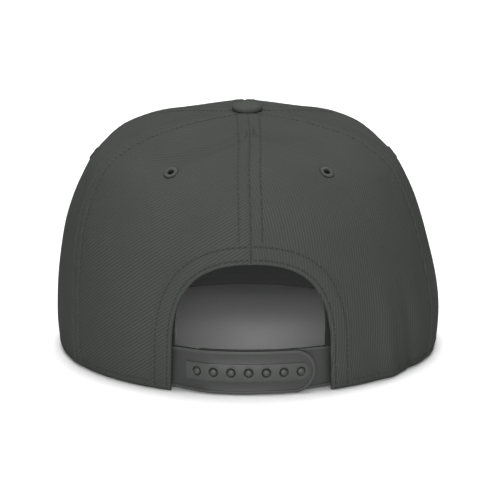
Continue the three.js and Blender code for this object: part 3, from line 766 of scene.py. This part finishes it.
# cuts the panel back from the opening and lets rings of cloth follow its edge down to the fold of the hem
def cutOpening(piece, cloth):
    spots = pointsOf(piece)
    deleteFacesWith(piece, cloth.atOpening(spots[:, 0], spots[:, 1]) < opening["gridStop"])
    spots = pointsOf(piece)
    arch = cloth.atOpening(spots[:, 0], spots[:, 1])
    ends, single = boundaryEdges(piece)
    onSeam = np.abs(spots[:, 0] - seams["back"]) < 1e-5
    level = (spots[ends, 1] == 0).all(axis=1) | onSeam[ends].all(axis=1)
    hemEdges = single & ~level & (arch[ends] < opening["gridStop"] + 3.5).all(axis=1)
    chain = np.unique(ends[hemEdges].ravel())
    selectOnly(piece, "edges", hemEdges)
    bpy.ops.object.mode_set(mode="OBJECT")
    onRim, onSeam = spots[chain, 1] == 0, onSeam[chain]

    face = crownPoint(spots[chain, 0], spots[chain, 1], 0)
    seamX = crownPoint(seams["back"], np.array([0.5]), 0)[0, 0]
    length = archDistance(face[:, 0], face[:, 2])[1]
    order = np.argsort(length)
    free = np.abs(face[order, 0] - seamX) > 9
    free[[0, -1]] = False
    for _ in range(6):  # evens the points out along the edge, but for its ends and the seam's columns
        inOrder = length[order]
        evened = (inOrder[:-2] + inOrder[1:-1] * 2 + inOrder[2:]) / 4
        inOrder[1:-1] = np.where(free[1:-1], evened, inOrder[1:-1])
        length[order] = inOrder

    def placeRing(members, distance):
        spot = onArch(length) + awayFromArch(length) * distance
        turn, rise = backWallPlace(spot[:, 0], np.where(onRim, 0, np.maximum(spot[:, 1], 0)), 0)
        turn = np.where(onSeam, seams["back"], turn)
        rise = np.where(onSeam, riseAtHeight(turn, spot[:, 1], 0), np.where(onRim, 0, rise))
        spots = pointsOf(piece)
        spots[members, 0], spots[members, 1] = turn, rise
        setPoints(piece, spots)

    placeRing(chain, opening["gridStop"])
    members = chain
    for distance in opening["hemRings"] + opening["foldRings"]:
        here = pointsOf(piece)[members]
        pick(piece)
        bpy.ops.object.mode_set(mode="EDIT")
        bpy.ops.mesh.extrude_region_move()
        bpy.ops.object.mode_set(mode="OBJECT")
        chosen = np.zeros(len(piece.data.vertices), bool)
        piece.data.vertices.foreach_get("select", chosen)
        fresh = np.flatnonzero(chosen)
        apart = np.abs(pointsOf(piece)[fresh][:, None, :2] - here[None, :, :2]).sum(axis=2)
        members = fresh[np.argmin(apart, axis=0)]
        placeRing(members, distance)


def sewPanel(name):
    cloth = PanelCloth(name)
    piece = panelPattern(name + "_cloth", cloth)
    cutEyeletHole(piece, cloth)
    if "back" in name:
        cutOpening(piece, cloth)
    turn, rise, _ = pointsOf(piece).T
    closeSheet(piece, cloth.front(turn, rise), cloth.back(turn, rise), cloth.flat(turn, rise))
    finishPiece(piece, crownTwill, [name], 60)
    print(name, "sewn,", len(piece.data.polygons), "faces")
    return cloth


sewn = {name: sewPanel(name) for name in panels}

# visor

# edge of the visor, from the seam round it to the flat: how far in, and how far out from the board's middle
visorEdge = ((0.42, 0.0), (0.08, 0.2), (0.0, 0.42), (0.1, 0.66), (0.4, 0.86), (0.9, 0.965), (1.5, 1.0))
visorRows = [visor["firstRow"] + i * visor["rowSpacing"] for i in range(visor["stitchRows"])]


def visorInner(share):
    turn = 180 - share * visor["wrap"]
    return crownPoint(np.where(turn > 180, turn - 360, turn), np.zeros(len(share)), -crown["wall"])[:, :2]


def visorOuter(share):
    tip = visorInner(np.array([1.0]))[0]
    ahead = crown["frontReach"] + visor["depth"] - visor["widestAhead"]
    swing = np.minimum(np.abs(share) * pi / 2 / visor["frontShare"], pi / 2)
    power = 2 / visor["squareness"]
    x = visor["halfWidth"] * np.sin(swing) ** power
    y = visor["widestAhead"] + ahead * np.maximum(0, np.cos(swing)) ** power
    t = np.clip((np.abs(share) - visor["frontShare"]) / (1 - visor["frontShare"]), 0, 1)
    endX, bendY = tip[0] + crown["wall"] + visor["endLap"], (tip[1] + visor["widestAhead"]) / 2
    backX = visor["halfWidth"] * (1 - t**2) + endX * t**2
    backY = visor["widestAhead"] * (1 - t) ** 2 + bendY * 2 * t * (1 - t) + tip[1] * t**2
    return np.stack([np.where(t > 0, backX, x) * np.sign(share), np.where(t > 0, backY, y)], axis=1)


def evenShares():
    fine = np.linspace(-1, 1, 6001)
    length = np.concatenate([[0], np.cumsum(np.linalg.norm(np.diff(visorOuter(fine), axis=0), axis=1))])
    return np.interp(np.linspace(0, length[-1], visor["columns"]), length, fine)


# how far the cloth stands out from the board: soft between the rows of stitching and drawn in along them
def visorRelief(inward, x):
    relief = 0.16 * ease(inward, 1.5, 3.5) + 0.03 * np.sin(x * 2 * pi / 9.0 + inward) * ease(inward, 2, 6)
    for row in visorRows:
        relief = relief - visor["rowDepth"] * hump(inward, row, 0.45)
    softness = np.sin((inward - visor["firstRow"]) / visor["rowSpacing"] * pi) ** 2
    return relief + visor["softness"] * softness * ease(inward, 4, 6)


# distances from the edge: its rounding, closer ones beside each row of stitches, the end under the crown
def visorSteps():
    steps = [2.2, 3.2]
    for row in visorRows:
        steps += [row - 0.9, row - 0.42, row, row + 0.42, row + 0.9, row + 2.1, row + 3.3, row + 4.5]
    steps = [inward for inward, _ in visorEdge] + steps[:-1] + [59.0, 63.0, 66.0, 68.0, 69.0]
    return np.array(steps)


def sewVisor():
    share, steps = evenShares(), visorSteps()
    inner, outer = visorInner(share), visorOuter(share)
    reach = np.linalg.norm(outer - inner, axis=1)
    place = np.arange(len(steps)) / (len(steps) - 1)
    inward = np.where(steps[:, None] <= reach - 2, steps[:, None], reach - 2 + 2 * place[:, None])
    inward[0], inward[-1] = steps[0], reach
    flat = outer + (inner - outer) * (inward / reach)[..., None]
    out = np.ones(len(steps))
    out[: len(visorEdge)] = [share for _, share in visorEdge]
    thick = visor["thickness"] / 2 * np.minimum(out[:, None], ease(reach - inward, -0.01, 1.2))
    cover = visorRelief(inward, flat[..., 0]) * ease(reach - inward, 0, 3) * ease(inward, 0.8, 2)
    middle = visorUnderside(flat[..., 0]) + visor["thickness"] / 2
    top = np.dstack([flat, middle + thick + cover])
    bottom = np.dstack([flat, middle - thick - np.minimum(cover, 0)])
    piece = sheetFromTables("visor_cloth", top[:, ::-1], bottom[:, ::-1], flat[:, ::-1])
    finishPiece(piece, visorTwill, ["visor"], 60)
    print("visor sewn,", len(piece.data.polygons), "faces")


sewVisor()

# sweatband and the facing of the opening

strap = {
    "height": 19.4,
    "thickness": 1.3,
    "taper": 1.8,
    "floorGap": 0.4,
    "relief": 0.5,
    "border": 1.3,
    "tabLength": 45.0,
    "bandHeight": 7.8,
    "bandSquareEnd": 5.2,
    "gap": 0.65,
    "hemGap": 1.3,
    "snaps": 7,
    "pitch": 7.8,
    "offset": -1.0,
    "endMargin": 6.6,
    "holeRadius": 2.25,
    "holeFlare": 0.5,
    "pegRadius": 1.62,
    "pegProud": 0.6,
    "softEdge": 0.28,
    "sliceStep": 1.1,
}
strapStack = strap["thickness"] + strap["relief"]
strapDepth = crown["wall"] + strap["hemGap"] + strapStack
sweatband = {
    "height": 32.0,
    "thickness": 1.1,
    "gap": 1.1,
    "floorGap": 0.6,
    "archClearance": 1.5,
    "blendDegrees": 22.0,
    "foldHeight": 28.5,
    "step": 1.3,
}
facing = {
    "width": 8.0,
    "outer": 1.95,
    "inner": 2.95,
    "step": 1.2,
    "shows": (1.3, 2.7),  # past the edge of the opening at the left and the right of its foot, where its near-black tint shows as painted shade
    "showsBelow": 42.0,
    "showsFully": 24.0,
}


def sewSweatband():
    start = np.degrees(np.arcsin((opening["halfWidth"] + sweatband["archClearance"]) / crown["sideReach"]))
    turn = spread(start, 360 - start, sweatband["step"] / 1.55)
    turn = np.where(turn > 180, turn - 360, turn)
    pastEnd = (np.abs(turn) - start) / sweatband["blendDegrees"]
    overStrap, hug = strapDepth + sweatband["gap"], crown["wall"] + sweatband["gap"]
    rim = rimHeight(turn)
    bottom = np.maximum(sweatband["floorGap"], rim - visor["thickness"] - 0.4)
    nearRim = [0, 0.15, 0.45, 0.9, 1.5, 2.2, 2.6, 3.0, 3.4]
    nearTop = [27.4, 27.9, 28.3, 28.7, 29.2, 30.0, 30.6, 31.1, 31.4, 31.5]
    ups = np.concatenate([nearRim, spread(4.2, 26.5, 1.3), nearTop])
    ups = np.concatenate([ups[:-1] / 31.4 * 0.994, [1.0]])
    height = bottom + (sweatband["height"] - bottom) * ups[:, None]
    up = height - bottom
    columns = np.broadcast_to(turn, height.shape)
    pastStrap = ease(pastEnd, 0.5, 1.5)
    inset = mix(overStrap, hug, pastStrap) - pastStrap * (1 - ease(up, 0.5, 5))
    gathers = 0.1 * np.sin(columns * 1.5 * 2 * pi / 9.5) * hump(up, 4.5, 3.0)
    fold = 0.3 * ease(height, sweatband["foldHeight"], sweatband["foldHeight"] + 0.6)
    sewnIn = hump(up, 2.6, 0.45) + hump(height, sweatband["foldHeight"] - 0.3, 0.45)
    relief = fold + gathers - 0.22 * sewnIn
    edge = np.minimum(np.minimum(up, sweatband["height"] - height) / 0.55, 1)
    edge = np.minimum(edge, (np.abs(columns) - start) * 1.5 / 0.55)
    roll = rolled(np.maximum(edge, 0), 1) * sweatband["thickness"] / 2
    wide = columns.ravel()
    front = insideAt(wide, height.ravel(), (inset + roll).ravel())
    backInset = inset + sweatband["thickness"] + relief * (edge >= 1) - roll
    back = insideAt(wide, height.ravel(), backInset.ravel())
    flat = np.dstack([np.cumsum(np.full(height.shape, sweatband["step"]), axis=1), height])
    shape = (*height.shape, 3)
    piece = sheetFromTables("sweatband_cloth", front.reshape(shape), back.reshape(shape), flat)
    finishPiece(piece, bandCotton, ["sweatband"], 60)
    print("sweatband sewn,", len(piece.data.polygons), "faces")


def sewFacing():
    floor = strap["height"] + strap["floorGap"] - 0.5
    lengths = spread(0, archLengths[-1], facing["step"])
    lengths = lengths[onArch(lengths)[:, 1] > floor]
    widths = np.array([0, 0.12, 0.35, 0.7, 1.4, 2.4, 3.4, 4.4, 5.4, 6.0, 6.4, 6.8, 7.3, 7.65, 7.88, 8.0])
    atEdge = onArch(lengths)
    belowTop = facing["showsBelow"] - atEdge[:, 1]
    shows = np.clip(belowTop / (facing["showsBelow"] - facing["showsFully"]), 0, 1)
    shows *= np.where(atEdge[:, 0] < 0, *facing["shows"])
    fromEdge = widths[:, None] - shows * (1 - widths[:, None] / facing["width"])
    spots = atEdge[None] + awayFromArch(lengths)[None] * fromEdge[..., None]
    spots[..., 1] = np.maximum(spots[..., 1], floor)
    alongEnd = np.minimum(np.arange(len(lengths)), np.arange(len(lengths))[::-1]) * facing["step"]
    edge = np.minimum(np.minimum(widths, facing["width"] - widths)[:, None], alongEnd[None]) / 0.5
    roll = rolled(np.clip(edge, 0, 1), 1) * (facing["inner"] - facing["outer"]) / 2
    turn, rise = backWallPlace(spots[..., 0].ravel(), spots[..., 1].ravel(), facing["outer"])
    ripple = 0.06 * np.sin(lengths * 2 * pi / 6.5)[None] * (edge >= 1)
    ripple = ripple - 0.18 * hump(widths, 6.4, 0.4)[:, None]
    front = crownPoint(turn, rise, -(facing["outer"] + roll).ravel())
    back = crownPoint(turn, rise, -(facing["inner"] + ripple - roll).ravel())
    shape = (*roll.shape, 3)
    flat = np.dstack(np.broadcast_arrays(lengths[None], widths[:, None]))
    piece = sheetFromTables("facing_cloth", front.reshape(shape), back.reshape(shape), flat)
    finishPiece(piece, shadedTapeCotton, ["opening_tape"], 60)
    print("facing of the opening sewn,", len(piece.data.polygons), "faces")


sewSweatband()
sewFacing()

# snap strap: moulded flat in millimetres, then laid round the back of the crown


def wallLine(height):
    x = np.linspace(-1.3, 1.3, 400) * strap["tabLength"]
    turn, rise = backWallPlace(x, np.full(400, height), 0)
    line = crownPoint(turn, rise, 0)[:, :2]
    return line, np.concatenate([[0], np.cumsum(np.linalg.norm(np.diff(line, axis=0), axis=1))])


lowLine = wallLine(crown["height"] * crownRows[1, 1])
highLine = wallLine(strap["floorGap"] + strap["height"])


def layOnBack(along, up, outwards):
    spots = []
    for line, length in (lowLine, highLine):
        here = length[-1] / 2 + along
        place = np.stack([np.interp(here, length, line[:, axis]) for axis in (0, 1)], axis=1)
        ahead = np.stack([np.interp(here + 0.5, length, line[:, axis]) for axis in (0, 1)], axis=1) - place
        ahead /= np.linalg.norm(ahead, axis=1)[:, None]
        spots.append(place + np.stack([ahead[:, 1], -ahead[:, 0]], axis=1) * outwards[:, None])
    return np.column_stack([mix(*spots, (up / strap["height"])[:, None]), up + strap["floorGap"]])


snapPlaces = strap["offset"] + (np.arange(strap["snaps"]) - (strap["snaps"] - 1) / 2) * strap["pitch"]


def strapOutline(margin):
    def low(along):
        return margin + strap["taper"] * (along / strap["tabLength"]) ** 2

    tip = snapPlaces[-1] + strap["endMargin"]
    high = strap["height"] - margin
    radius = (strap["height"] - low(tip - strap["height"] / 2) - margin) / 2
    centre = tip - margin - radius
    bottomX = np.linspace(-strap["tabLength"], centre, 24)
    bottomY = mix(low(bottomX), high - 2 * radius, ease((bottomX + strap["tabLength"]) / 60, 0.5, 1.0))
    swing = np.linspace(-pi / 2, pi / 2, 33)[1:]
    arc = np.stack([centre + radius * np.cos(swing), high - radius + radius * np.sin(swing)], axis=1)
    return np.vstack([np.stack([bottomX, bottomY], axis=1), arc, [[-strap["tabLength"], high]]])


def snapBandOutline():
    middle, radius = strap["height"] / 2, strap["bandHeight"] / 2
    left, right = snapPlaces[0] - strap["bandSquareEnd"], snapPlaces[-1]
    swing = np.linspace(-pi / 2, pi / 2, 25)
    arc = np.stack([right + radius * np.cos(swing), middle + radius * np.sin(swing)], axis=1)
    return np.vstack([[[left, middle - radius]], arc, [[left, middle + radius]]])


def flatSlab(name, outline, low, high):
    deselectAll()
    bpy.ops.mesh.primitive_circle_add(vertices=len(outline), radius=1, fill_type="NGON")
    piece = bpy.context.object
    piece.name = name
    setPoints(piece, np.column_stack([outline, np.full(len(outline), low)]))
    bpy.ops.object.mode_set(mode="EDIT")
    bpy.ops.mesh.select_all(action="SELECT")
    bpy.ops.mesh.extrude_region_move(TRANSFORM_OT_translate={"value": (0, 0, high - low)})
    bpy.ops.mesh.select_all(action="SELECT")
    bpy.ops.mesh.normals_make_consistent(inside=False)
    bpy.ops.object.mode_set(mode="OBJECT")
    return piece


# a turned piece on the Z axis: the first ring is filled, each next ring is pulled up and widened or narrowed
def turnedPiece(name, rings, sides):
    deselectAll()
    radius, height = rings[0]
    low = (0, 0, height)
    bpy.ops.mesh.primitive_circle_add(vertices=sides, radius=radius, fill_type="NGON", location=low)
    piece = bpy.context.object
    piece.name = name
    bpy.ops.object.transform_apply(location=True)
    bpy.ops.object.mode_set(mode="EDIT")
    bpy.ops.mesh.select_all(action="SELECT")
    for nextRadius, nextHeight in rings[1:]:
        bpy.ops.mesh.extrude_region_move(TRANSFORM_OT_translate={"value": (0, 0, nextHeight - height)})
        share = nextRadius / radius
        bpy.ops.transform.resize(value=(share, share, 1), center_override=(0, 0, nextHeight))
        radius, height = nextRadius, nextHeight
    bpy.ops.mesh.select_all(action="SELECT")
    bpy.ops.mesh.normals_make_consistent(inside=False)
    bpy.ops.object.mode_set(mode="OBJECT")
    return piece


def applyModifier(piece, kind, **settings):
    pick(piece)
    modifier = piece.modifiers.new(kind.lower(), kind)
    for key, value in settings.items():
        setattr(modifier, key, value)
    bpy.ops.object.modifier_apply(modifier=modifier.name)


def combine(piece, other, operation):
    applyModifier(piece, "BOOLEAN", object=other, operation=operation, solver="EXACT")
    bpy.data.objects.remove(other)


def strapBlank(name, withBand):
    body = flatSlab(name, strapOutline(0), 0, strapStack)
    pocket = flatSlab("pocket", strapOutline(strap["border"]), strap["thickness"], strapStack + 2)
    if withBand:
        combine(pocket, flatSlab("band", snapBandOutline(), -1, strapStack + 3), "DIFFERENCE")
    combine(body, pocket, "DIFFERENCE")
    return body


def softenEdges(piece):
    limit = {"limit_method": "ANGLE", "angle_limit": radians(40)}
    applyModifier(piece, "BEVEL", width=strap["softEdge"], segments=3, **limit)


# cuts the flat strap into narrow slices, so that it bends smoothly
def cutAcross(piece):
    pick(piece)
    bpy.ops.object.mode_set(mode="EDIT")
    reach = strap["tabLength"] + 2
    for x in spread(-reach, reach, strap["sliceStep"]) + 0.13:
        bpy.ops.mesh.select_all(action="SELECT")
        bpy.ops.mesh.bisect(plane_co=(x, 0, 0), plane_no=(1, 0, 0))
    bpy.ops.object.mode_set(mode="OBJECT")


def holedDepth(along):
    waist = opening["waistHalfWidth"]
    return strapDepth - ease(along, -waist, -waist / 2) * (strapStack + strap["gap"])


def peggedDepth(along):
    return np.maximum(strapDepth, holedDepth(along) + strapStack + strap["gap"])


def layStrap(piece, depthAt, mirrored):
    cutAcross(piece)
    along, up, outwards = pointsOf(piece).T
    # marks how far each point stands out, for the painted shade in the strap's recesses
    markRaised(piece, (outwards - strap["thickness"]) / strap["relief"] - 0.1)
    if mirrored:
        along = 2 * strap["offset"] - along
        piece.data.flip_normals()
    setPoints(piece, toFrame(layOnBack(along, up, outwards - depthAt(along))))
    mergeDoubles(piece, 2e-6)


def mouldHoledStrap():
    piece = strapBlank("strap_outer", True)
    for along in snapPlaces:
        wide, narrow = strap["holeRadius"], strap["holeRadius"] - strap["holeFlare"]
        flareStart = strapStack - strap["holeFlare"]
        rings = ((narrow, -1), (narrow, flareStart), (wide, strapStack), (wide, strapStack + 1))
        drill = turnedPiece("drill", rings, 40)
        setPoints(drill, pointsOf(drill) + (along, strap["height"] / 2, 0))
        combine(piece, drill, "DIFFERENCE")
    softenEdges(piece)
    layStrap(piece, holedDepth, False)
    finishPiece(piece, mouldedPlastic, ["strap_holed"], 35)
    print("outer strap moulded,", len(piece.data.polygons), "faces")


def mouldPeggedStrap():
    piece = strapBlank("strap_inner", False)
    softenEdges(piece)
    reach = strapStack + strap["gap"] + strapStack + strap["pegProud"]
    swings = np.linspace(0, pi / 2 - 0.12, 7)
    dome = [(strap["pegRadius"] * cos(t), reach - 0.9 + 0.9 * sin(t)) for t in swings]
    for along in snapPlaces:
        peg = turnedPiece("peg", [(strap["pegRadius"], strap["thickness"] / 2), *dome], 32)
        setPoints(peg, pointsOf(peg) + (along, strap["height"] / 2, 0))
        combine(piece, peg, "UNION")
    layStrap(piece, peggedDepth, True)
    finishPiece(piece, mouldedPlastic, ["strap_pegged"], 35)
    print("inner strap moulded,", len(piece.data.polygons), "faces")


mouldHoledStrap()
mouldPeggedStrap()

# button

button = {
    "radius": 6.9,
    "height": 3.1,
    "seat": 0.45,
    "tilt": 4.0,
    "sides": 96,
    "gathers": 22,
    "gatherDepth": 0.06,
}


def coverButton():
    swing = np.linspace(-0.35, pi / 2 - 0.1, 16)
    rings = [(2.2, -4.0), (2.2, -0.1), (5.6, -0.12)]
    for t in swing:
        out = button["radius"] * np.sign(cos(t)) * abs(cos(t)) ** 0.62
        up = button["height"] * (0.28 + 0.72 * np.sign(sin(t)) * abs(sin(t)) ** 0.95)
        rings.append((float(out), float(up)))
    piece = turnedPiece("button_cloth", rings, button["sides"])
    spots = pointsOf(piece)
    radius, angle = np.hypot(spots[:, 0], spots[:, 1]), np.arctan2(spots[:, 1], spots[:, 0])
    low = hump(spots[:, 2], 0.2, 0.8) * (radius > 5)
    waves = np.sin(angle * button["gathers"] + np.sin(angle * 3))
    gather = 1 + low * button["gatherDepth"] / button["radius"] * waves
    spots[:, :2] *= gather[:, None]
    spots[:, 2] += 0.06 * np.sin(spots[:, 0] * 0.8 + 1) * np.sin(spots[:, 1] * 0.7) * (radius < 6.4)
    layUv(piece, spots[:, :2])
    top = crownFace(np.array([0.0]), np.array([1.0]))[0]
    tilt = np.array(Matrix.Rotation(radians(button["tilt"]), 3, "X"))
    setPoints(piece, toFrame((spots + (0, 0, button["seat"])) @ tilt.T + top))
    finishPiece(piece, buttonTwill, ["button"], 60)
    print("button covered,", len(piece.data.polygons), "faces")


coverButton()

# eyelets: rings of thread worked round each vent

eyeletRing = {"hole": 1.1, "radius": 3.5, "proud": 0.4, "threads": 34, "threadHeight": 0.1, "around": 204}


def workEyelet(name):
    cut = sewn[name]
    turn, rise = (np.array([value]) for value in cut.eyeletPlace)
    middle = crownPoint(turn, rise, -crown["wall"] / 2)[0]
    normal = Vector(crownNormal(turn, rise)[0])
    ringName = name.replace("panel", "eyelet")
    deselectAll()
    halfWidth = (eyeletRing["radius"] - eyeletRing["hole"]) / 2
    bpy.ops.mesh.primitive_torus_add(
        major_segments=eyeletRing["around"],
        minor_segments=22,
        major_radius=eyeletRing["hole"] + halfWidth,
        minor_radius=halfWidth,
    )
    piece = bpy.context.object
    piece.name = ringName + "_thread"
    spots = pointsOf(piece)
    angle, radius = np.arctan2(spots[:, 1], spots[:, 0]), np.hypot(spots[:, 0], spots[:, 1])
    across, up = radius - eyeletRing["hole"] - halfWidth, spots[:, 2]
    around = np.arctan2(up, across)
    thread = np.abs(np.sin(angle * eyeletRing["threads"] / 2 + 0.5 * np.sin(around)))
    uneven = 0.5 + 0.5 * np.sin(angle * 7 + around) * np.sin(angle * 3)
    bulge = 1 + (thread * eyeletRing["threadHeight"] + 0.05 * uneven - 0.08) / halfWidth
    across = np.sign(across) * np.abs(across / halfWidth) ** 0.8 * halfWidth * bulge
    up = np.sign(up) * np.abs(up / halfWidth) ** 0.8 * (crown["wall"] / 2 + eyeletRing["proud"]) * bulge
    # the ring's crest is marked raised and its edges hollow, for the painted shadow line round the eyelet
    markRaised(piece, 1 - ease(np.abs(across) / halfWidth, 0.55, 0.8))
    radius = eyeletRing["hole"] + halfWidth + across
    spots = np.stack([radius * np.cos(angle), radius * np.sin(angle), up], axis=1)
    facing = np.array(normal.to_track_quat("Z", "Y").to_matrix())
    setPoints(piece, toFrame(spots @ facing.T + middle))
    finishPiece(piece, embroideryThread, [ringName], 60)


for name in panels:
    workEyelet(name)
print("eyelets worked")

# stitching

stitching = {"pitch": 2.4, "fill": 0.66, "thickness": 0.3, "visorPitch": 2.9, "sink": 0.2}


# one stitch along X, its two ends drawn down into the cloth
def oneStitch(length):
    deselectAll()
    bpy.ops.mesh.primitive_uv_sphere_add(segments=6, ring_count=6, radius=1)
    piece = bpy.context.object
    x, y, z = pointsOf(piece).T
    along = np.sign(z) * np.abs(z) ** 0.8
    spots = np.stack([along * length / 2, y * stitching["thickness"], x * stitching["thickness"]], axis=1)
    spots[:, 2] -= stitching["sink"] * 1.6 * np.abs(along) ** 4
    faces = [list(face.vertices) for face in piece.data.polygons]
    bpy.data.objects.remove(piece)
    return spots, faces


# places at even steps along a row of points: middle, direction and the way out of the cloth
def alongRow(spots, normals, pitch):
    length = np.concatenate([[0], np.cumsum(np.linalg.norm(np.diff(spots, axis=0), axis=1))])
    count = int(length[-1] / pitch)
    middles = (np.arange(count) + 0.5) * length[-1] / max(count, 1)

    def at(table, place):
        return np.stack([np.interp(place, length, table[:, axis]) for axis in range(3)], axis=1)

    along = at(spots, middles + 0.6) - at(spots, middles - 0.6)
    out = at(normals, middles)
    along /= np.linalg.norm(along, axis=1)[:, None]
    across = np.cross(out, along)
    across /= np.linalg.norm(across, axis=1)[:, None]
    return at(spots, middles), along, across, np.cross(along, across)


def stitchRows(name, rows, pitch):
    stitch, faces = oneStitch(pitch * stitching["fill"])
    blocks = []
    for spots, normals in rows:
        middle, along, across, out = alongRow(spots, normals, pitch)
        lean = dice.normal(0, 0.05, len(middle))[:, None]
        along, across = along + across * lean, across - along * lean
        size = 1 + dice.normal(0, 0.04, len(middle))[:, None, None]
        block = (
            middle[:, None]
            + stitch[None, :, 0:1] * along[:, None] * size
            + stitch[None, :, 1:2] * across[:, None]
            + (stitch[None, :, 2:3] + 0.1) * out[:, None]
        )
        blocks.append(block.reshape(-1, 3))
    spots = np.vstack(blocks)
    copies = len(spots) // len(stitch)
    allFaces = [[corner + i * len(stitch) for corner in face] for i in range(copies) for face in faces]
    mesh = bpy.data.meshes.new(name)
    mesh.from_pydata(toFrame(spots).tolist(), [], allFaces)
    piece = bpy.data.objects.new(name, mesh)
    bpy.context.scene.collection.objects.link(piece)
    finishPiece(piece, shadedSewingThread, [], 60)
    print(name, "laid,", copies, "stitches")


def clothRow(name, turn, rise):
    return sewn[name].front(turn, rise), crownNormal(turn, rise)


def seamRows():
    rows = []
    for name, cut in sewn.items():
        for start, way in ((cut.start, 1), (cut.end, -1)):
            up = spread(6.0, cut.upLength(crown["topShare"]) - 5.5, 0.8)
            rise = cut.riseAtLength(up)
            turn = start + way * sewing["seamRow"] / cut.perDegree(rise)
            kept = cut.atOpening(turn, rise) > opening["hem"] + 0.6
            rows.append(clothRow(name, turn[kept], rise[kept]))
    return rows


def hemRows():
    rows = []
    for distance in opening["stitchRows"]:
        spot = onArch(spread(0, archLengths[-1], 0.8))
        spot = spot + awayFromArch(spread(0, archLengths[-1], 0.8)) * distance
        spot = spot[spot[:, 1] > 1.5]
        turn, rise = backWallPlace(spot[:, 0], spot[:, 1], 0)
        apart = turn - seams["back"]
        for name, chosen in (("panel_back_left", apart < -0.2), ("panel_back_right", apart > 0.2)):
            rows.append(clothRow(name, turn[chosen], rise[chosen]))
    return rows


def rimRows():
    rows = []
    for name, cut in sewn.items():
        turn = spread(cut.start + 0.2, cut.end - 0.2, 0.5)
        rise = cut.riseAtLength(np.full(len(turn), sewing["rimRow"]))
        kept = cut.atOpening(turn, rise) > opening["hem"] + 0.6
        rows.append(clothRow(name, turn[kept], rise[kept]))
    return rows


def visorStitchRows(above):
    rows = []
    share = evenShares()
    inner, outer = visorInner(share), visorOuter(share)
    reach = np.linalg.norm(outer - inner, axis=1)
    for row in visorRows:
        kept = reach > row + (3 if above else 5)
        flat = (outer + (inner - outer) * (row / reach)[:, None])[kept]
        lift = visor["thickness"] + visorRelief(np.full(len(flat), row), flat[:, 0]) if above else 0.1
        slope = -2 * visor["camber"] * flat[:, 0] / visor["halfWidth"] ** 2
        out = np.column_stack([-slope, np.zeros(len(flat)), np.ones(len(flat))]) * (1 if above else -1)
        rows.append((np.column_stack([flat, visorUnderside(flat[:, 0]) + lift]), out))
    return rows


stitchRows("stitches_seams", seamRows(), stitching["pitch"])
stitchRows("stitches_opening", hemRows(), stitching["pitch"])
stitchRows("stitches_rim", rimRows(), stitching["pitch"])
stitchRows("stitches_visor_top", visorStitchRows(True), stitching["visorPitch"])
stitchRows("stitches_visor_under", visorStitchRows(False), stitching["visorPitch"])

# camera, floor and light

view = {
    "azimuth": -0.93,
    "elevation": 13.1,
    "distance": 1.6,
    "lens": 252.3,
    "target": (0.0009, -0.034, 0.0428),
}


def setCamera():
    turn, tilt = radians(view["azimuth"]), radians(view["elevation"])
    back = Vector((sin(turn) * cos(tilt), -cos(turn) * cos(tilt), sin(tilt)))
    data = bpy.data.cameras.new("camera")
    data.lens, data.sensor_width = view["lens"], 36
    camera = bpy.data.objects.new("camera", data)
    camera.location = Vector(view["target"]) + back * view["distance"]
    camera.rotation_euler = (-back).to_track_quat("-Z", "Y").to_euler()
    bpy.context.scene.collection.objects.link(camera)
    bpy.context.scene.camera = camera


studio = {
    "sky": 0.08,
    "paper": 0.84,
    "softboxes": {
        "key": {"place": (-0.1, -2.1, 0.56), "aim": (0, 0, 0.04), "size": (1.4, 0.8), "power": 52.0},
        "ceiling": {"place": (0.0, 0.3, 2.3), "aim": (0, 0, 0.04), "size": (1.6, 1.6), "power": 77.0},
        "backdrop": {"place": (0.0, 1.9, 1.7), "aim": (0, 1.1, 0), "size": (2.4, 1.2), "power": 28.0},
    },
}


def softbox(name, place, aim, size, power):
    data = bpy.data.lights.new(name, "AREA")
    data.shape, data.size, data.size_y, data.energy = "RECTANGLE", size[0], size[1], power
    lamp = bpy.data.objects.new(name, data)
    lamp.location = place
    lamp.rotation_euler = (Vector(aim) - Vector(place)).to_track_quat("-Z", "Y").to_euler()
    bpy.context.scene.collection.objects.link(lamp)


def setLight():
    world = bpy.data.worlds.new("studio")
    world.use_nodes = True
    world.node_tree.nodes["Background"].inputs["Color"].default_value = (1, 1, 1, 1)
    world.node_tree.nodes["Background"].inputs["Strength"].default_value = studio["sky"]
    bpy.context.scene.world = world
    for name, box in studio["softboxes"].items():
        softbox(name, **box)
    bpy.context.scene.view_settings.view_transform = "Standard"


def layFloor():
    deselectAll()
    bpy.ops.mesh.primitive_plane_add(size=14)
    floor = bpy.context.object
    floor.name = "floor"
    bench = NodeBench("whitePaper")
    bench.shader.inputs["Base Color"].default_value = (*[studio["paper"]] * 3, 1)
    bench.shader.inputs["Roughness"].default_value = 0.9
    floor.data.materials.append(bench.material)


setCamera()
setLight()
layFloor()
